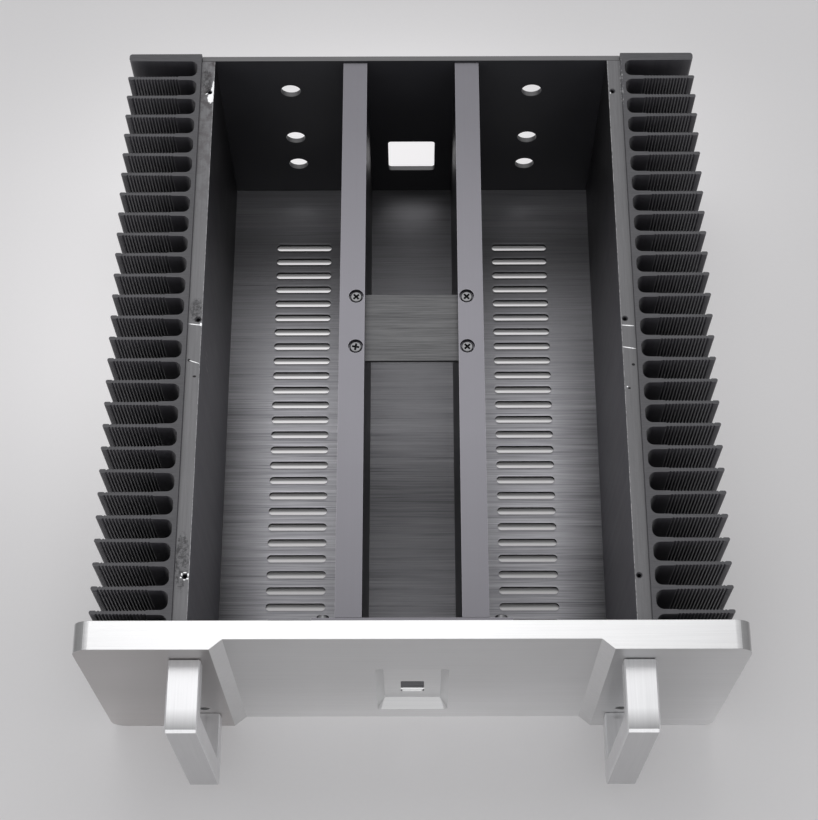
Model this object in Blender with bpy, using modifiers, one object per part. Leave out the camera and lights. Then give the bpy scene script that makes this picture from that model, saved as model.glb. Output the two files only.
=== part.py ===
"""Amplifier chassis without its top cover.

Two finned heatsinks are the side walls. A thick front panel with two pull handles, a thin rear panel and
a vented bottom plate close the rest. Two rails run front to rear and split the inside into three bays.

Metres, +Z up, +Y to the rear. The origin is at the middle of the underside.
"""
import math
from collections import namedtuple

import bmesh
import bpy
from mathutils import Matrix, Vector

# Clearances
FIT_GAP = 0.0003
CUT_OVERRUN = 0.003

# Case
CASE_LENGTH = 0.450
CASE_HEIGHT = 0.195
BAY_WIDTH = 0.298

# Heatsink: a flat base with fins across its length
SINK_BASE = 0.013
FIN_LENGTH = 0.052
FIN_PITCH = 0.0169
FIN_ROOT = 0.0033
FIN_TIP = 0.0027
FIN_TIP_ROUND = 0.0009
FIN_GAP_ROUND = 0.0050
END_FIN = 0.0066
FIRST_FIN = 0.0040

# Steps milled in the heatsinks for the cover, the bottom plate and the rear panel
STEP_WIDTH = 0.010
COVER_STEP = 0.003
COVER_HOLE_RADIUS = 0.00145
COVER_HOLE_DEPTH = 0.010
COVER_HOLE_INSET = 0.003
COVER_HOLE_MARGIN = 0.032

# Front panel
PANEL_WIDTH = 0.450
PANEL_THICKNESS = 0.020
PANEL_CORNER = 0.012
RECESS_FLOOR_WIDTH = 0.250
RECESS_DEPTH = 0.007
RECESS_SLOPE_RUN = 0.0085
POCKET_MOUTH_WIDTH = 0.0516
POCKET_BOTTOM = 0.0203
POCKET_DROP = 0.0702
POCKET_DEPTH = 0.008
POCKET_SLOPE_RUN = 0.0053
SWITCH_WIDTH = 0.0169
SWITCH_HEIGHT = 0.0266
SWITCH_CENTRE_HEIGHT = 0.054

# Handles
HANDLE_INSET = 0.073
HANDLE_WIDTH = 0.022
HANDLE_REACH = 0.050
HANDLE_BOTTOM = 0.0225
HANDLE_DROP = 0.0205
HANDLE_ARM = 0.014
HANDLE_GRIP = 0.015
HANDLE_CORNER = 0.0028
HANDLE_EDGE = 0.0014

# Bottom plate
BOTTOM_THICKNESS = 0.003
VENT_LENGTH = 0.046
VENT_WIDTH = 0.006
VENT_PITCH = 0.0132
VENT_ROWS = 27
VENT_COLUMN_X = 0.0902
VENT_REAR_MARGIN = 0.056

# Rear panel
REAR_THICKNESS = 0.004
REAR_INSET = 0.0005
SOCKET_HOLE_RADIUS = 0.00775
SOCKET_HOLE_X = 0.094
SOCKET_HOLE_BOTTOM = 0.0456
SOCKET_HOLE_PITCH = 0.040
SOCKET_HOLE_DROP = 0.043
INLET_WIDTH = 0.038
INLET_HEIGHT = 0.0436
INLET_CENTRE_HEIGHT = 0.057
INLET_CORNER = 0.0025

# Rails and what ties them
RAIL_INNER_X = 0.0334
RAIL_WIDTH = 0.018
RAIL_WEB = 0.003
RAIL_HEAD = 0.010
RAIL_FOOT = 0.003
RAIL_DROP = 0.005
TIE_LENGTH = 0.098
TIE_WIDTH = 0.053
TIE_THICKNESS = 0.003
STAY_WIDTH = 0.134
STAY_THICKNESS = 0.003
STAY_WINDOW_MARGIN = 0.003

# Places of the screws
TIE_SCREW_INSET = 0.0062
TIE_SCREW_SPACING = 0.040
STAY_SCREW_X = 0.0595
STAY_SCREW_INSET = 0.006
PANEL_SCREW_INSET = 0.003
PANEL_SCREW_MARGIN = 0.048
REAR_SCREW_MARGIN = 0.022
FOOT_SCREW_MARGIN = 0.055

# Segments of a full circle, and of each quarter round at a fin's root
FINE_CIRCLE = 16
SCREW_CIRCLE = 12
HIDDEN_CIRCLE = 8
FIN_GAP_SEGMENTS = 2

# Sizes of the screws, of their recesses and of how far they bite into the last piece
M4_RADIUS = 0.0020
M3_RADIUS = 0.0015
M4_SUNK_RADIUS = 0.0040
M3_SUNK_RADIUS = 0.0030
PAN_RADIUS = 0.0042
PAN_HEIGHT = 0.0026
PAN_CROWN = 0.62
PAN_SIDE = 0.45
CAP_RADIUS = 0.0035
CAP_HEIGHT = 0.0040
RAIL_BORE_RADIUS = 0.00535
RAIL_BORE_DEPTH = 0.0040
CAP_BORE_RADIUS = 0.0043
CAP_BORE_DEPTH = 0.0060
CROSS_REACH = 0.0021
CROSS_HALF_WIDTH = 0.0006
HEX_RADIUS = 0.0015
DRIVE_DEPTH = 0.0014
SCREW_TIP = 0.0006
SHORT_BITE = 0.007
LONG_BITE = 0.0105

# Planes that the pieces share
panel_back = HANDLE_REACH / 2 + PANEL_THICKNESS / 2 - CASE_LENGTH / 2
panel_front = panel_back - PANEL_THICKNESS
case_rear = panel_back + CASE_LENGTH
sink_front = panel_back + FIT_GAP
wall_x = BAY_WIDTH / 2
step_x = wall_x + STEP_WIDTH
plate_half_width = step_x - FIT_GAP
rear_outer = case_rear - REAR_INSET
rear_inner = rear_outer - REAR_THICKNESS
step_height = CASE_HEIGHT - COVER_STEP
rail_bottom = BOTTOM_THICKNESS + FIT_GAP
rail_top = CASE_HEIGHT - RAIL_DROP
stay_front = panel_back + FIT_GAP
stay_rear = stay_front + STAY_THICKNESS
rail_front = stay_rear + FIT_GAP
rail_rear = rear_inner - FIT_GAP
rail_middle = (rail_front + rail_rear) / 2
rail_head_bottom = rail_top - RAIL_HEAD
tie_slot_top = rail_head_bottom - FIT_GAP
tie_top = tie_slot_top - FIT_GAP
tie_bottom = tie_top - TIE_THICKNESS
recess_floor = panel_front + RECESS_DEPTH
pocket_floor = recess_floor + POCKET_DEPTH
handle_x = PANEL_WIDTH / 2 - HANDLE_INSET
handle_height = CASE_HEIGHT - HANDLE_DROP - HANDLE_BOTTOM


# Collections and materials

def new_collection(name):
    collection = bpy.data.collections.new(name)
    bpy.context.scene.collection.children.link(collection)
    return collection


def new_material(name, colour, roughness, metallic):
    material = bpy.data.materials.new(name)
    material.use_nodes = True
    material.diffuse_color = (*colour, 1.0)
    shader = material.node_tree.nodes["Principled BSDF"]
    shader.inputs["Base Color"].default_value = (*colour, 1.0)
    shader.inputs["Roughness"].default_value = roughness
    shader.inputs["Metallic"].default_value = metallic
    return material


for leftover in list(bpy.data.objects):
    bpy.data.objects.remove(leftover, do_unlink=True)

parts = new_collection("amplifier_chassis")
cutters = new_collection("cutters")
chassis = bpy.data.objects.new("amplifier_chassis_origin", None)
parts.objects.link(chassis)


# Shapes

def add_part(name, mesh, material, location=(0, 0, 0)):
    """One sub-part of the chassis, held by the origin empty."""
    part = bpy.data.objects.new(name, mesh)
    parts.objects.link(part)
    part.data.materials.clear()
    part.data.materials.append(material)
    part.parent = chassis
    part.location = location
    return part


def mesh_from(name, shape):
    """Turn a bmesh into a mesh whose faces point out."""
    bmesh.ops.recalc_face_normals(shape, faces=shape.faces)
    mesh = bpy.data.meshes.new(name)
    shape.to_mesh(mesh)
    shape.free()
    return mesh


def box_mesh(name, low, high):
    """A block between two corners."""
    low = Vector(low)
    high = Vector(high)
    shape = bmesh.new()
    place = Matrix.Translation((low + high) / 2) @ Matrix.Diagonal((*(high - low), 1.0))
    bmesh.ops.create_cube(shape, size=1.0, matrix=place)
    return mesh_from(name, shape)


def evaluated_mesh(holder):
    """The mesh that an object makes once its curve or modifiers are evaluated."""
    bpy.context.view_layer.update()
    graph = bpy.context.evaluated_depsgraph_get()
    return bpy.data.meshes.new_from_object(holder.evaluated_get(graph))


def plate_mesh(name, outline, thickness):
    """A flat plate in local XY, centred on local Z."""
    curve = bpy.data.curves.new(name, "CURVE")
    curve.dimensions = "2D"
    curve.fill_mode = "BOTH"
    curve.extrude = thickness / 2
    spline = curve.splines.new("POLY")
    spline.points.add(len(outline) - 1)
    for point, (x, y) in zip(spline.points, outline):
        point.co = (x, y, 0.0, 1.0)
    spline.use_cyclic_u = True
    drawn = bpy.data.objects.new(name, curve)
    cutters.objects.link(drawn)
    loose = evaluated_mesh(drawn)
    bpy.data.objects.remove(drawn, do_unlink=True)
    shape = bmesh.new()
    shape.from_mesh(loose)
    bmesh.ops.remove_doubles(shape, verts=shape.verts, dist=0.00001)
    bmesh.ops.dissolve_limit(shape, angle_limit=math.radians(1), verts=shape.verts, edges=shape.edges)
    return mesh_from(name, shape)


def turned_mesh(name, profile, circle):
    """A turned solid: a profile of (radius, height) points, from the top of its axis to the bottom."""
    shape = bmesh.new()
    corners = [shape.verts.new((radius, 0.0, height)) for radius, height in profile]
    for upper, lower in zip(corners, corners[1:]):
        shape.edges.new((upper, lower))
    line = bpy.data.meshes.new(name)
    shape.to_mesh(line)
    shape.free()
    holder = bpy.data.objects.new(name, line)
    cutters.objects.link(holder)
    turn = holder.modifiers.new("turn", "SCREW")
    turn.steps = circle
    turn.render_steps = circle
    turn.use_merge_vertices = True
    turn.merge_threshold = 0.00001
    turned = evaluated_mesh(holder)
    bpy.data.objects.remove(holder, do_unlink=True)
    shape = bmesh.new()
    shape.from_mesh(turned)
    bmesh.ops.remove_doubles(shape, verts=shape.verts, dist=0.00001)
    return mesh_from(name, shape)


def arc(centre, radius, start, end, segments):
    """Points on an arc, angles in degrees, both ends included."""
    points = []
    for step in range(segments + 1):
        angle = math.radians(start + (end - start) * step / segments)
        points.append((centre[0] + radius * math.cos(angle), centre[1] + radius * math.sin(angle)))
    return points


def rounded_rectangle(centre, width, height, radius, segments):
    """Outline of a rectangle with round corners, counter-clockwise from its right side."""
    outline = []
    for turn, (side, rise) in enumerate(((1, -1), (1, 1), (-1, 1), (-1, -1))):
        corner = (centre[0] + side * (width / 2 - radius), centre[1] + rise * (height / 2 - radius))
        outline += arc(corner, radius, 90 * turn - 90, 90 * turn, segments)
    return outline


def circle_outline(centre, radius, segments):
    return arc(centre, radius, 0, 360, segments)[:-1]


def cut(part, mesh, place=Matrix.Identity(4)):
    """Take a closed mesh away from a part."""
    cutter = bpy.data.objects.new("cut_" + part.name, mesh)
    cutters.objects.link(cutter)
    cutter.matrix_world = place
    cutter.hide_render = True
    cutter.display_type = "WIRE"
    boolean = part.modifiers.new("cut", "BOOLEAN")
    boolean.operation = "DIFFERENCE"
    boolean.solver = "EXACT"
    boolean.object = cutter


def holes_mesh(name, placed):
    """Cutters that don't touch each other in a single mesh: placed lists each one's mesh and place."""
    shape = bmesh.new()
    for mesh, place in placed:
        copy = mesh.copy()
        copy.transform(place)
        shape.from_mesh(copy)
        bpy.data.meshes.remove(copy)
    return mesh_from(name, shape)


# Screws: each stands on its local Z axis with its head up. Reach is how far its tip goes below the surface
# that it is driven through, and a counterbore takes its head below that surface.

Screw = namedtuple("Screw", "head shank_radius head_radius head_height reach bore_radius bore_depth circle")
drilled = {}


def sunk_screw(shank_radius, head_radius, reach):
    """A countersunk screw, whose head is a 45 degree cone."""
    head_height = head_radius - shank_radius
    return Screw("sunk", shank_radius, head_radius, head_height, reach, 0.0, 0.0, HIDDEN_CIRCLE)


def pan_screw(reach, bore_radius=0.0, bore_depth=0.0):
    return Screw("pan", M4_RADIUS, PAN_RADIUS, PAN_HEIGHT, reach, bore_radius, bore_depth, SCREW_CIRCLE)


def cap_screw(reach, circle):
    return Screw("cap", M4_RADIUS, CAP_RADIUS, CAP_HEIGHT, reach, CAP_BORE_RADIUS, CAP_BORE_DEPTH, circle)


def screw_profile(screw):
    """Outline of a screw, from the top of its head to its tip."""
    tip = -screw.reach
    if screw.head == "sunk":
        return [(0.0, -FIT_GAP), (screw.head_radius, -FIT_GAP),
                (screw.shank_radius, -FIT_GAP - screw.head_height), (screw.shank_radius, tip), (0.0, tip)]
    seat = FIT_GAP - screw.bore_depth
    top = seat + screw.head_height
    crown = [(0.0, top), (screw.head_radius, top)]
    if screw.head == "pan":
        crown = [(0.0, top), (PAN_CROWN * screw.head_radius, top),
                 (screw.head_radius, seat + PAN_SIDE * screw.head_height)]
    shank = [(screw.head_radius, seat), (screw.shank_radius, seat), (screw.shank_radius, tip), (0.0, tip)]
    return crown + shank


def hole_profile(screw):
    """Outline of the hole that a screw sits in, a gap wider than the screw all round."""
    bore = screw.shank_radius + FIT_GAP
    end = -screw.reach - FIT_GAP
    if screw.head == "sunk":
        mouth = screw.head_radius + 2 * FIT_GAP
        return [(0.0, CUT_OVERRUN), (mouth, CUT_OVERRUN), (mouth, 0.0),
                (bore, -screw.head_height - FIT_GAP), (bore, end), (0.0, end)]
    if screw.bore_depth:
        return [(0.0, CUT_OVERRUN), (screw.bore_radius, CUT_OVERRUN), (screw.bore_radius, -screw.bore_depth),
                (bore, -screw.bore_depth), (bore, end), (0.0, end)]
    return [(0.0, CUT_OVERRUN), (bore, CUT_OVERRUN), (bore, end), (0.0, end)]


def drive_places(facing, points):
    """Where screws go: each point lies on the surface that the heads' side faces out of."""
    turn = Vector((0, 0, 1)).rotation_difference(Vector(facing)).to_matrix().to_4x4()
    return [Matrix.Translation(point) @ turn for point in points]


def drive_mesh(screw):
    """The cutter of the recess for a driver: a cross in a pan head, a hexagon in a cap head."""
    if screw.head == "pan":
        near = CROSS_HALF_WIDTH
        arm = [Vector((CROSS_REACH, -near)), Vector((CROSS_REACH, near)), Vector((near, near))]
        outline = []
        for quarter in range(4):
            turn = Matrix.Rotation(math.radians(90 * quarter), 2)
            outline += [turn @ point for point in arm]
    else:
        outline = circle_outline((0, 0), HEX_RADIUS, 6)
    height = DRIVE_DEPTH + CUT_OVERRUN
    mesh = plate_mesh("drive", outline, height)
    head_top = FIT_GAP - screw.bore_depth + screw.head_height
    mesh.transform(Matrix.Translation((0, 0, head_top - DRIVE_DEPTH + height / 2)))
    return mesh


def drive_screws(name, screw, places, pieces, material):
    """Put the screws in and note the holes that they need in the pieces that they hold."""
    hole = turned_mesh("hole_" + name, hole_profile(screw), screw.circle)
    for piece in pieces:
        drilled.setdefault(piece, []).extend((hole, place) for place in places)
    shared = turned_mesh(name, screw_profile(screw), screw.circle)
    shared.shade_smooth()
    shared.set_sharp_from_angle(angle=math.radians(30))
    for number, place in enumerate(places, start=1):
        part = add_part(f"{name}_{number}", shared, material)
        part.matrix_local = place
        if screw.circle == SCREW_CIRCLE:
            cut(part, drive_mesh(screw), place)


# Materials

black_anodised = new_material("black_anodised", (0.020, 0.020, 0.023), 0.45, 0.6)
black_brushed = new_material("black_brushed", (0.085, 0.085, 0.090), 0.40, 0.9)
grey_anodised = new_material("grey_anodised", (0.300, 0.300, 0.320), 0.45, 0.9)
silver_brushed = new_material("silver_brushed", (0.780, 0.780, 0.790), 0.32, 1.0)
silver_steel = new_material("silver_steel", (0.560, 0.560, 0.570), 0.30, 1.0)
black_steel = new_material("black_steel", (0.060, 0.060, 0.065), 0.38, 0.9)


# Heatsinks

def fin_gap_outline(front_root, rear_root, front_tip, rear_tip, root_x, tip_x):
    """One gap between two fins, from the rear fin's tip round the U-shaped root to the front fin's tip."""
    radius = FIN_GAP_ROUND
    points = [(tip_x - FIN_TIP_ROUND, rear_tip)]
    points += arc((root_x + radius, rear_root - radius), radius, 90, 180, FIN_GAP_SEGMENTS)
    points += arc((root_x + radius, front_root + radius), radius, 180, 270, FIN_GAP_SEGMENTS)
    points.append((tip_x - FIN_TIP_ROUND, front_tip))
    return points


def heatsink_outline():
    """Section of the right heatsink, seen from above, clockwise from its inner rear corner."""
    root_x = wall_x + SINK_BASE
    tip_x = root_x + FIN_LENGTH
    end_fin_front = case_rear - END_FIN
    first_fin_front = panel_back + FIRST_FIN
    fin_room = end_fin_front - first_fin_front
    fin_count = int(fin_room / FIN_PITCH)
    taper = (FIN_ROOT - FIN_TIP) / 2
    centres = [first_fin_front + FIN_ROOT / 2 + FIN_PITCH * number for number in range(fin_count)]
    outline = [(wall_x, case_rear), (tip_x - FIN_TIP_ROUND, case_rear), (tip_x, case_rear - FIN_TIP_ROUND)]
    outline.append((tip_x, end_fin_front + taper + FIN_TIP_ROUND))
    rear_root = end_fin_front
    rear_tip = end_fin_front + taper
    for centre in reversed(centres):
        front_root = centre + FIN_ROOT / 2
        front_tip = centre + FIN_TIP / 2
        outline += fin_gap_outline(front_root, rear_root, front_tip, rear_tip, root_x, tip_x)
        outline.append((tip_x, front_tip - FIN_TIP_ROUND))
        outline.append((tip_x, centre - FIN_TIP / 2 + FIN_TIP_ROUND))
        rear_root = centre - FIN_ROOT / 2
        rear_tip = centre - FIN_TIP / 2
    outline.append((tip_x - FIN_TIP_ROUND, rear_tip))
    outline += [(root_x, rear_root), (root_x, sink_front), (wall_x, sink_front)]
    return outline


def add_heatsink(name, side):
    """A heatsink on one side: side is 1 on the right and -1 on the left."""
    outline = [(side * x, y) for x, y in heatsink_outline()]
    mesh = plate_mesh(name, outline, CASE_HEIGHT)
    sink = add_part(name, mesh, black_anodised, (0, 0, CASE_HEIGHT / 2))
    inner = side * (wall_x - CUT_OVERRUN)
    outer = side * step_x
    low_x = min(inner, outer)
    high_x = max(inner, outer)
    front = sink_front - CUT_OVERRUN
    rear = case_rear + CUT_OVERRUN
    bottom_step = BOTTOM_THICKNESS + FIT_GAP
    cut(sink, box_mesh("cover_step", (low_x, front, step_height), (high_x, rear, CASE_HEIGHT + CUT_OVERRUN)))
    cut(sink, box_mesh("bottom_step", (low_x, front, -CUT_OVERRUN), (high_x, rear, bottom_step)))
    rear_step = rear_inner - FIT_GAP
    cut(sink, box_mesh("rear_step", (low_x, rear_step, -CUT_OVERRUN), (high_x, rear, CASE_HEIGHT)))
    hole = turned_mesh("cover_hole", [(0.0, CUT_OVERRUN), (COVER_HOLE_RADIUS, CUT_OVERRUN),
                                      (COVER_HOLE_RADIUS, -COVER_HOLE_DEPTH), (0.0, -COVER_HOLE_DEPTH)],
                       HIDDEN_CIRCLE)
    points = [(side * (wall_x + COVER_HOLE_INSET), y, step_height) for y in cover_hole_rows]
    drilled[sink] = [(hole, Matrix.Translation(point)) for point in points]
    return sink


cover_hole_front = panel_back + COVER_HOLE_MARGIN
cover_hole_rear = case_rear - REAR_INSET - COVER_HOLE_MARGIN
cover_hole_rows = (cover_hole_front, (cover_hole_front + cover_hole_rear) / 2, cover_hole_rear)
heatsinks = [add_heatsink("left_heatsink", -1), add_heatsink("right_heatsink", 1)]


# Front panel

def upright(mesh):
    """Stand a plate drawn in XY on its edge: its Y becomes up and its thickness lies along Y."""
    mesh.transform(Matrix.Rotation(math.radians(90), 4, "X"))
    return mesh


def pocket_mesh():
    """The pocket's cutter: from a sharp floor out to a mouth with round corners, as a cone mill leaves it."""
    height = CASE_HEIGHT - POCKET_DROP - POCKET_BOTTOM
    centre_height = POCKET_BOTTOM + height / 2
    floor_half_width = POCKET_MOUTH_WIDTH / 2 - POCKET_SLOPE_RUN
    floor_half_height = height / 2 - POCKET_SLOPE_RUN
    grow = 1 + CUT_OVERRUN / POCKET_DEPTH
    run = POCKET_SLOPE_RUN * grow
    mouth = rounded_rectangle((0, centre_height), 2 * (floor_half_width + run),
                              2 * (floor_half_height + run), run, 3)
    shape = bmesh.new()
    for x, z in mouth:
        shape.verts.new((x, recess_floor - CUT_OVERRUN, z))
    for side in (-1, 1):
        for rise in (-1, 1):
            shape.verts.new((side * floor_half_width, pocket_floor, centre_height + rise * floor_half_height))
    bmesh.ops.convex_hull(shape, input=shape.verts)
    return mesh_from("pocket", shape)


panel_outline = rounded_rectangle((0, CASE_HEIGHT / 2), PANEL_WIDTH, CASE_HEIGHT, PANEL_CORNER, 6)
panel_mesh = upright(plate_mesh("front_panel", panel_outline, PANEL_THICKNESS))
panel = add_part("front_panel", panel_mesh, silver_brushed, (0, panel_back - PANEL_THICKNESS / 2, 0))

recess_floor_x = RECESS_FLOOR_WIDTH / 2
recess_mouth_x = recess_floor_x + RECESS_SLOPE_RUN
recess_outline = [(-recess_floor_x, recess_floor), (-recess_mouth_x, panel_front)]
recess_outline += [(-recess_mouth_x, panel_front - CUT_OVERRUN), (recess_mouth_x, panel_front - CUT_OVERRUN)]
recess_outline += [(recess_mouth_x, panel_front), (recess_floor_x, recess_floor)]
recess_mesh = plate_mesh("recess", recess_outline, CASE_HEIGHT + 2 * CUT_OVERRUN)
cut(panel, recess_mesh, Matrix.Translation((0, 0, CASE_HEIGHT / 2)))
cut(panel, pocket_mesh())

switch_bottom = SWITCH_CENTRE_HEIGHT - SWITCH_HEIGHT / 2
switch_top = SWITCH_CENTRE_HEIGHT + SWITCH_HEIGHT / 2
cut(panel, box_mesh("switch_window", (-SWITCH_WIDTH / 2, pocket_floor - CUT_OVERRUN, switch_bottom),
                    (SWITCH_WIDTH / 2, panel_back + CUT_OVERRUN, switch_top)))


# Handles

def handle_mesh():
    """A C-shaped bar: drawn from the side as reach by height, then laid across its width."""
    reach = HANDLE_REACH - FIT_GAP
    c = HANDLE_CORNER
    top = handle_height
    inner = reach - HANDLE_GRIP
    outline = [(0, c), (c, 0), (reach - c, 0), (reach, c), (reach, top - c), (reach - c, top), (c, top)]
    outline += [(0, top - c), (0, top - HANDLE_ARM), (inner, top - HANDLE_ARM)]
    outline += [(inner, HANDLE_ARM), (0, HANDLE_ARM)]
    mesh = plate_mesh("handle", outline, HANDLE_WIDTH)
    mesh.transform(Matrix(((0, 0, 1, 0), (-1, 0, 0, 0), (0, 1, 0, 0), (0, 0, 0, 1))))
    return mesh


def add_handle(name, side):
    place = (side * handle_x, panel_front - FIT_GAP, HANDLE_BOTTOM)
    handle = add_part(name, handle_mesh(), silver_brushed, place)
    edge = handle.modifiers.new("edge", "BEVEL")
    edge.width = HANDLE_EDGE
    edge.segments = 1
    edge.limit_method = "ANGLE"
    edge.angle_limit = math.radians(60)
    return handle


handles = [add_handle("left_handle", -1), add_handle("right_handle", 1)]


# Bottom plate

def vent_mesh():
    """The cutter of a vent slot with round ends, lying across the plate."""
    end = VENT_LENGTH / 2 - VENT_WIDTH / 2
    outline = arc((end, 0), VENT_WIDTH / 2, -90, 90, 3)
    outline += arc((-end, 0), VENT_WIDTH / 2, 90, 270, 3)
    return plate_mesh("vent", outline, BOTTOM_THICKNESS + 2 * CUT_OVERRUN)


bottom_front = panel_back + FIT_GAP
bottom_rear = rear_inner - FIT_GAP
bottom = add_part("bottom_plate", box_mesh("bottom_plate", (-plate_half_width, bottom_front, 0),
                                           (plate_half_width, bottom_rear, BOTTOM_THICKNESS)), black_brushed)
vent = vent_mesh()
vents = []
for column_x in (-VENT_COLUMN_X, VENT_COLUMN_X):
    for row in range(VENT_ROWS):
        row_y = bottom_rear - VENT_REAR_MARGIN - row * VENT_PITCH
        vents.append((vent, Matrix.Translation((column_x, row_y, BOTTOM_THICKNESS / 2))))
drilled[bottom] = vents


# Rear panel

rear = add_part("rear_panel", box_mesh("rear_panel", (-plate_half_width, rear_inner, 0),
                                       (plate_half_width, rear_outer, step_height)), black_anodised)
rear_cut = REAR_THICKNESS + 2 * CUT_OVERRUN
rear_middle = (rear_inner + rear_outer) / 2
socket_outline = circle_outline((0, 0), SOCKET_HOLE_RADIUS, FINE_CIRCLE)
socket_hole = upright(plate_mesh("socket_hole", socket_outline, rear_cut))
inlet_outline = rounded_rectangle((0, 0), INLET_WIDTH, INLET_HEIGHT, INLET_CORNER, 3)
inlet_hole = upright(plate_mesh("inlet_hole", inlet_outline, rear_cut))
socket_heights = (SOCKET_HOLE_BOTTOM, SOCKET_HOLE_BOTTOM + SOCKET_HOLE_PITCH, CASE_HEIGHT - SOCKET_HOLE_DROP)
drilled[rear] = [(inlet_hole, Matrix.Translation((0, rear_middle, INLET_CENTRE_HEIGHT)))]
for hole_x in (-SOCKET_HOLE_X, SOCKET_HOLE_X):
    for hole_height in socket_heights:
        drilled[rear].append((socket_hole, Matrix.Translation((hole_x, rear_middle, hole_height))))


# Rails

def add_rail(name, side):
    """An extruded rail: a wide solid head and a foot that both lean outward from a thin web."""
    height = rail_top - rail_bottom
    head = height - RAIL_HEAD
    outline = [(0, 0), (RAIL_WIDTH, 0), (RAIL_WIDTH, RAIL_FOOT), (RAIL_WEB, RAIL_FOOT), (RAIL_WEB, head)]
    outline += [(RAIL_WIDTH, head), (RAIL_WIDTH, height), (0, height)]
    outline = [(side * x, z) for x, z in outline]
    mesh = upright(plate_mesh(name, outline, rail_rear - rail_front))
    rail = add_part(name, mesh, grey_anodised, (side * RAIL_INNER_X, rail_middle, rail_bottom))
    inner = side * (RAIL_INNER_X - CUT_OVERRUN)
    outer = side * (RAIL_INNER_X + RAIL_WEB + CUT_OVERRUN)
    half_slot = TIE_WIDTH / 2 + FIT_GAP
    cut(rail, box_mesh("tie_slot", (min(inner, outer), rail_middle - half_slot, tie_bottom - FIT_GAP),
                       (max(inner, outer), rail_middle + half_slot, tie_slot_top)))
    return rail


rails = [add_rail("left_rail", -1), add_rail("right_rail", 1)]


# Cross plate and front stay

tie = add_part("cross_plate", box_mesh("cross_plate", (-TIE_LENGTH / 2, -TIE_WIDTH / 2, 0),
                                       (TIE_LENGTH / 2, TIE_WIDTH / 2, TIE_THICKNESS)),
               black_brushed, (0, rail_middle, tie_bottom))

stay = add_part("front_stay", box_mesh("front_stay", (-STAY_WIDTH / 2, stay_front, rail_bottom),
                                       (STAY_WIDTH / 2, stay_rear, rail_top)), grey_anodised)
window_half = SWITCH_WIDTH / 2 + STAY_WINDOW_MARGIN
stay_window = box_mesh("stay_window",
                       (-window_half, stay_front - CUT_OVERRUN, switch_bottom - STAY_WINDOW_MARGIN),
                       (window_half, stay_rear + CUT_OVERRUN, switch_top + STAY_WINDOW_MARGIN))
drilled[stay] = [(stay_window, Matrix.Identity(4))]


# Screws in their places

sides = (-1, 1)

tie_screw = pan_screw(rail_top - tie_bottom + SCREW_TIP, RAIL_BORE_RADIUS, RAIL_BORE_DEPTH)
tie_screw_x = RAIL_INNER_X + TIE_SCREW_INSET
tie_screw_rows = (rail_middle - TIE_SCREW_SPACING / 2, rail_middle + TIE_SCREW_SPACING / 2)
tie_points = [(side * tie_screw_x, y, rail_top) for side in sides for y in tie_screw_rows]
drive_screws("cross_plate_screw", tie_screw, drive_places((0, 0, 1), tie_points), rails + [tie], silver_steel)

stay_screw = pan_screw(STAY_THICKNESS + SHORT_BITE)
stay_screw_heights = (rail_bottom + STAY_SCREW_INSET, rail_top - STAY_SCREW_INSET)
stay_points = [(side * STAY_SCREW_X, stay_rear, z) for side in sides for z in stay_screw_heights]
stay_pieces = [stay, panel]
drive_screws("front_stay_screw", stay_screw, drive_places((0, 1, 0), stay_points), stay_pieces, silver_steel)

panel_screw = cap_screw(PANEL_THICKNESS + LONG_BITE, SCREW_CIRCLE)
panel_screw_heights = (PANEL_SCREW_MARGIN, CASE_HEIGHT - PANEL_SCREW_MARGIN)
panel_screw_x = wall_x + PANEL_SCREW_INSET
panel_points = [(side * panel_screw_x, panel_front, z) for side in sides for z in panel_screw_heights]
panel_pieces = [panel] + heatsinks
drive_screws("panel_screw", panel_screw, drive_places((0, -1, 0), panel_points), panel_pieces, black_steel)

handle_screw = cap_screw(PANEL_THICKNESS + LONG_BITE, HIDDEN_CIRCLE)
handle_screw_low = HANDLE_BOTTOM + HANDLE_ARM / 2
handle_screw_heights = (handle_screw_low, handle_screw_low + handle_height - HANDLE_ARM)
handle_points = [(side * handle_x, panel_back, z) for side in sides for z in handle_screw_heights]
handle_pieces = [panel] + handles
drive_screws("handle_screw", handle_screw, drive_places((0, 1, 0), handle_points), handle_pieces, black_steel)

bottom_screw = sunk_screw(M3_RADIUS, M3_SUNK_RADIUS, BOTTOM_THICKNESS + LONG_BITE)
step_middle_x = wall_x + STEP_WIDTH / 2
bottom_points = [(side * step_middle_x, y, 0) for side in sides for y in cover_hole_rows]
bottom_pieces = [bottom] + heatsinks
drive_screws("bottom_screw", bottom_screw, drive_places((0, 0, -1), bottom_points), bottom_pieces,
             black_steel)

foot_screw = sunk_screw(M4_RADIUS, M4_SUNK_RADIUS, rail_bottom + RAIL_FOOT + SCREW_TIP)
foot_screw_x = RAIL_INNER_X + (RAIL_WEB + RAIL_WIDTH) / 2
foot_screw_rows = (rail_front + FOOT_SCREW_MARGIN, rail_rear - FOOT_SCREW_MARGIN)
foot_points = [(side * foot_screw_x, y, 0) for side in sides for y in foot_screw_rows]
foot_pieces = [bottom] + rails
drive_screws("rail_foot_screw", foot_screw, drive_places((0, 0, -1), foot_points), foot_pieces, black_steel)

rail_end_x = RAIL_INNER_X + RAIL_WIDTH / 2
rail_end_height = rail_top - RAIL_HEAD / 2
stay_to_rail_screw = sunk_screw(M4_RADIUS, M4_SUNK_RADIUS, STAY_THICKNESS + LONG_BITE)
front_points = [(side * rail_end_x, stay_front, rail_end_height) for side in sides]
front_pieces = [stay] + rails
drive_screws("rail_front_screw", stay_to_rail_screw, drive_places((0, -1, 0), front_points), front_pieces,
             black_steel)

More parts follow.
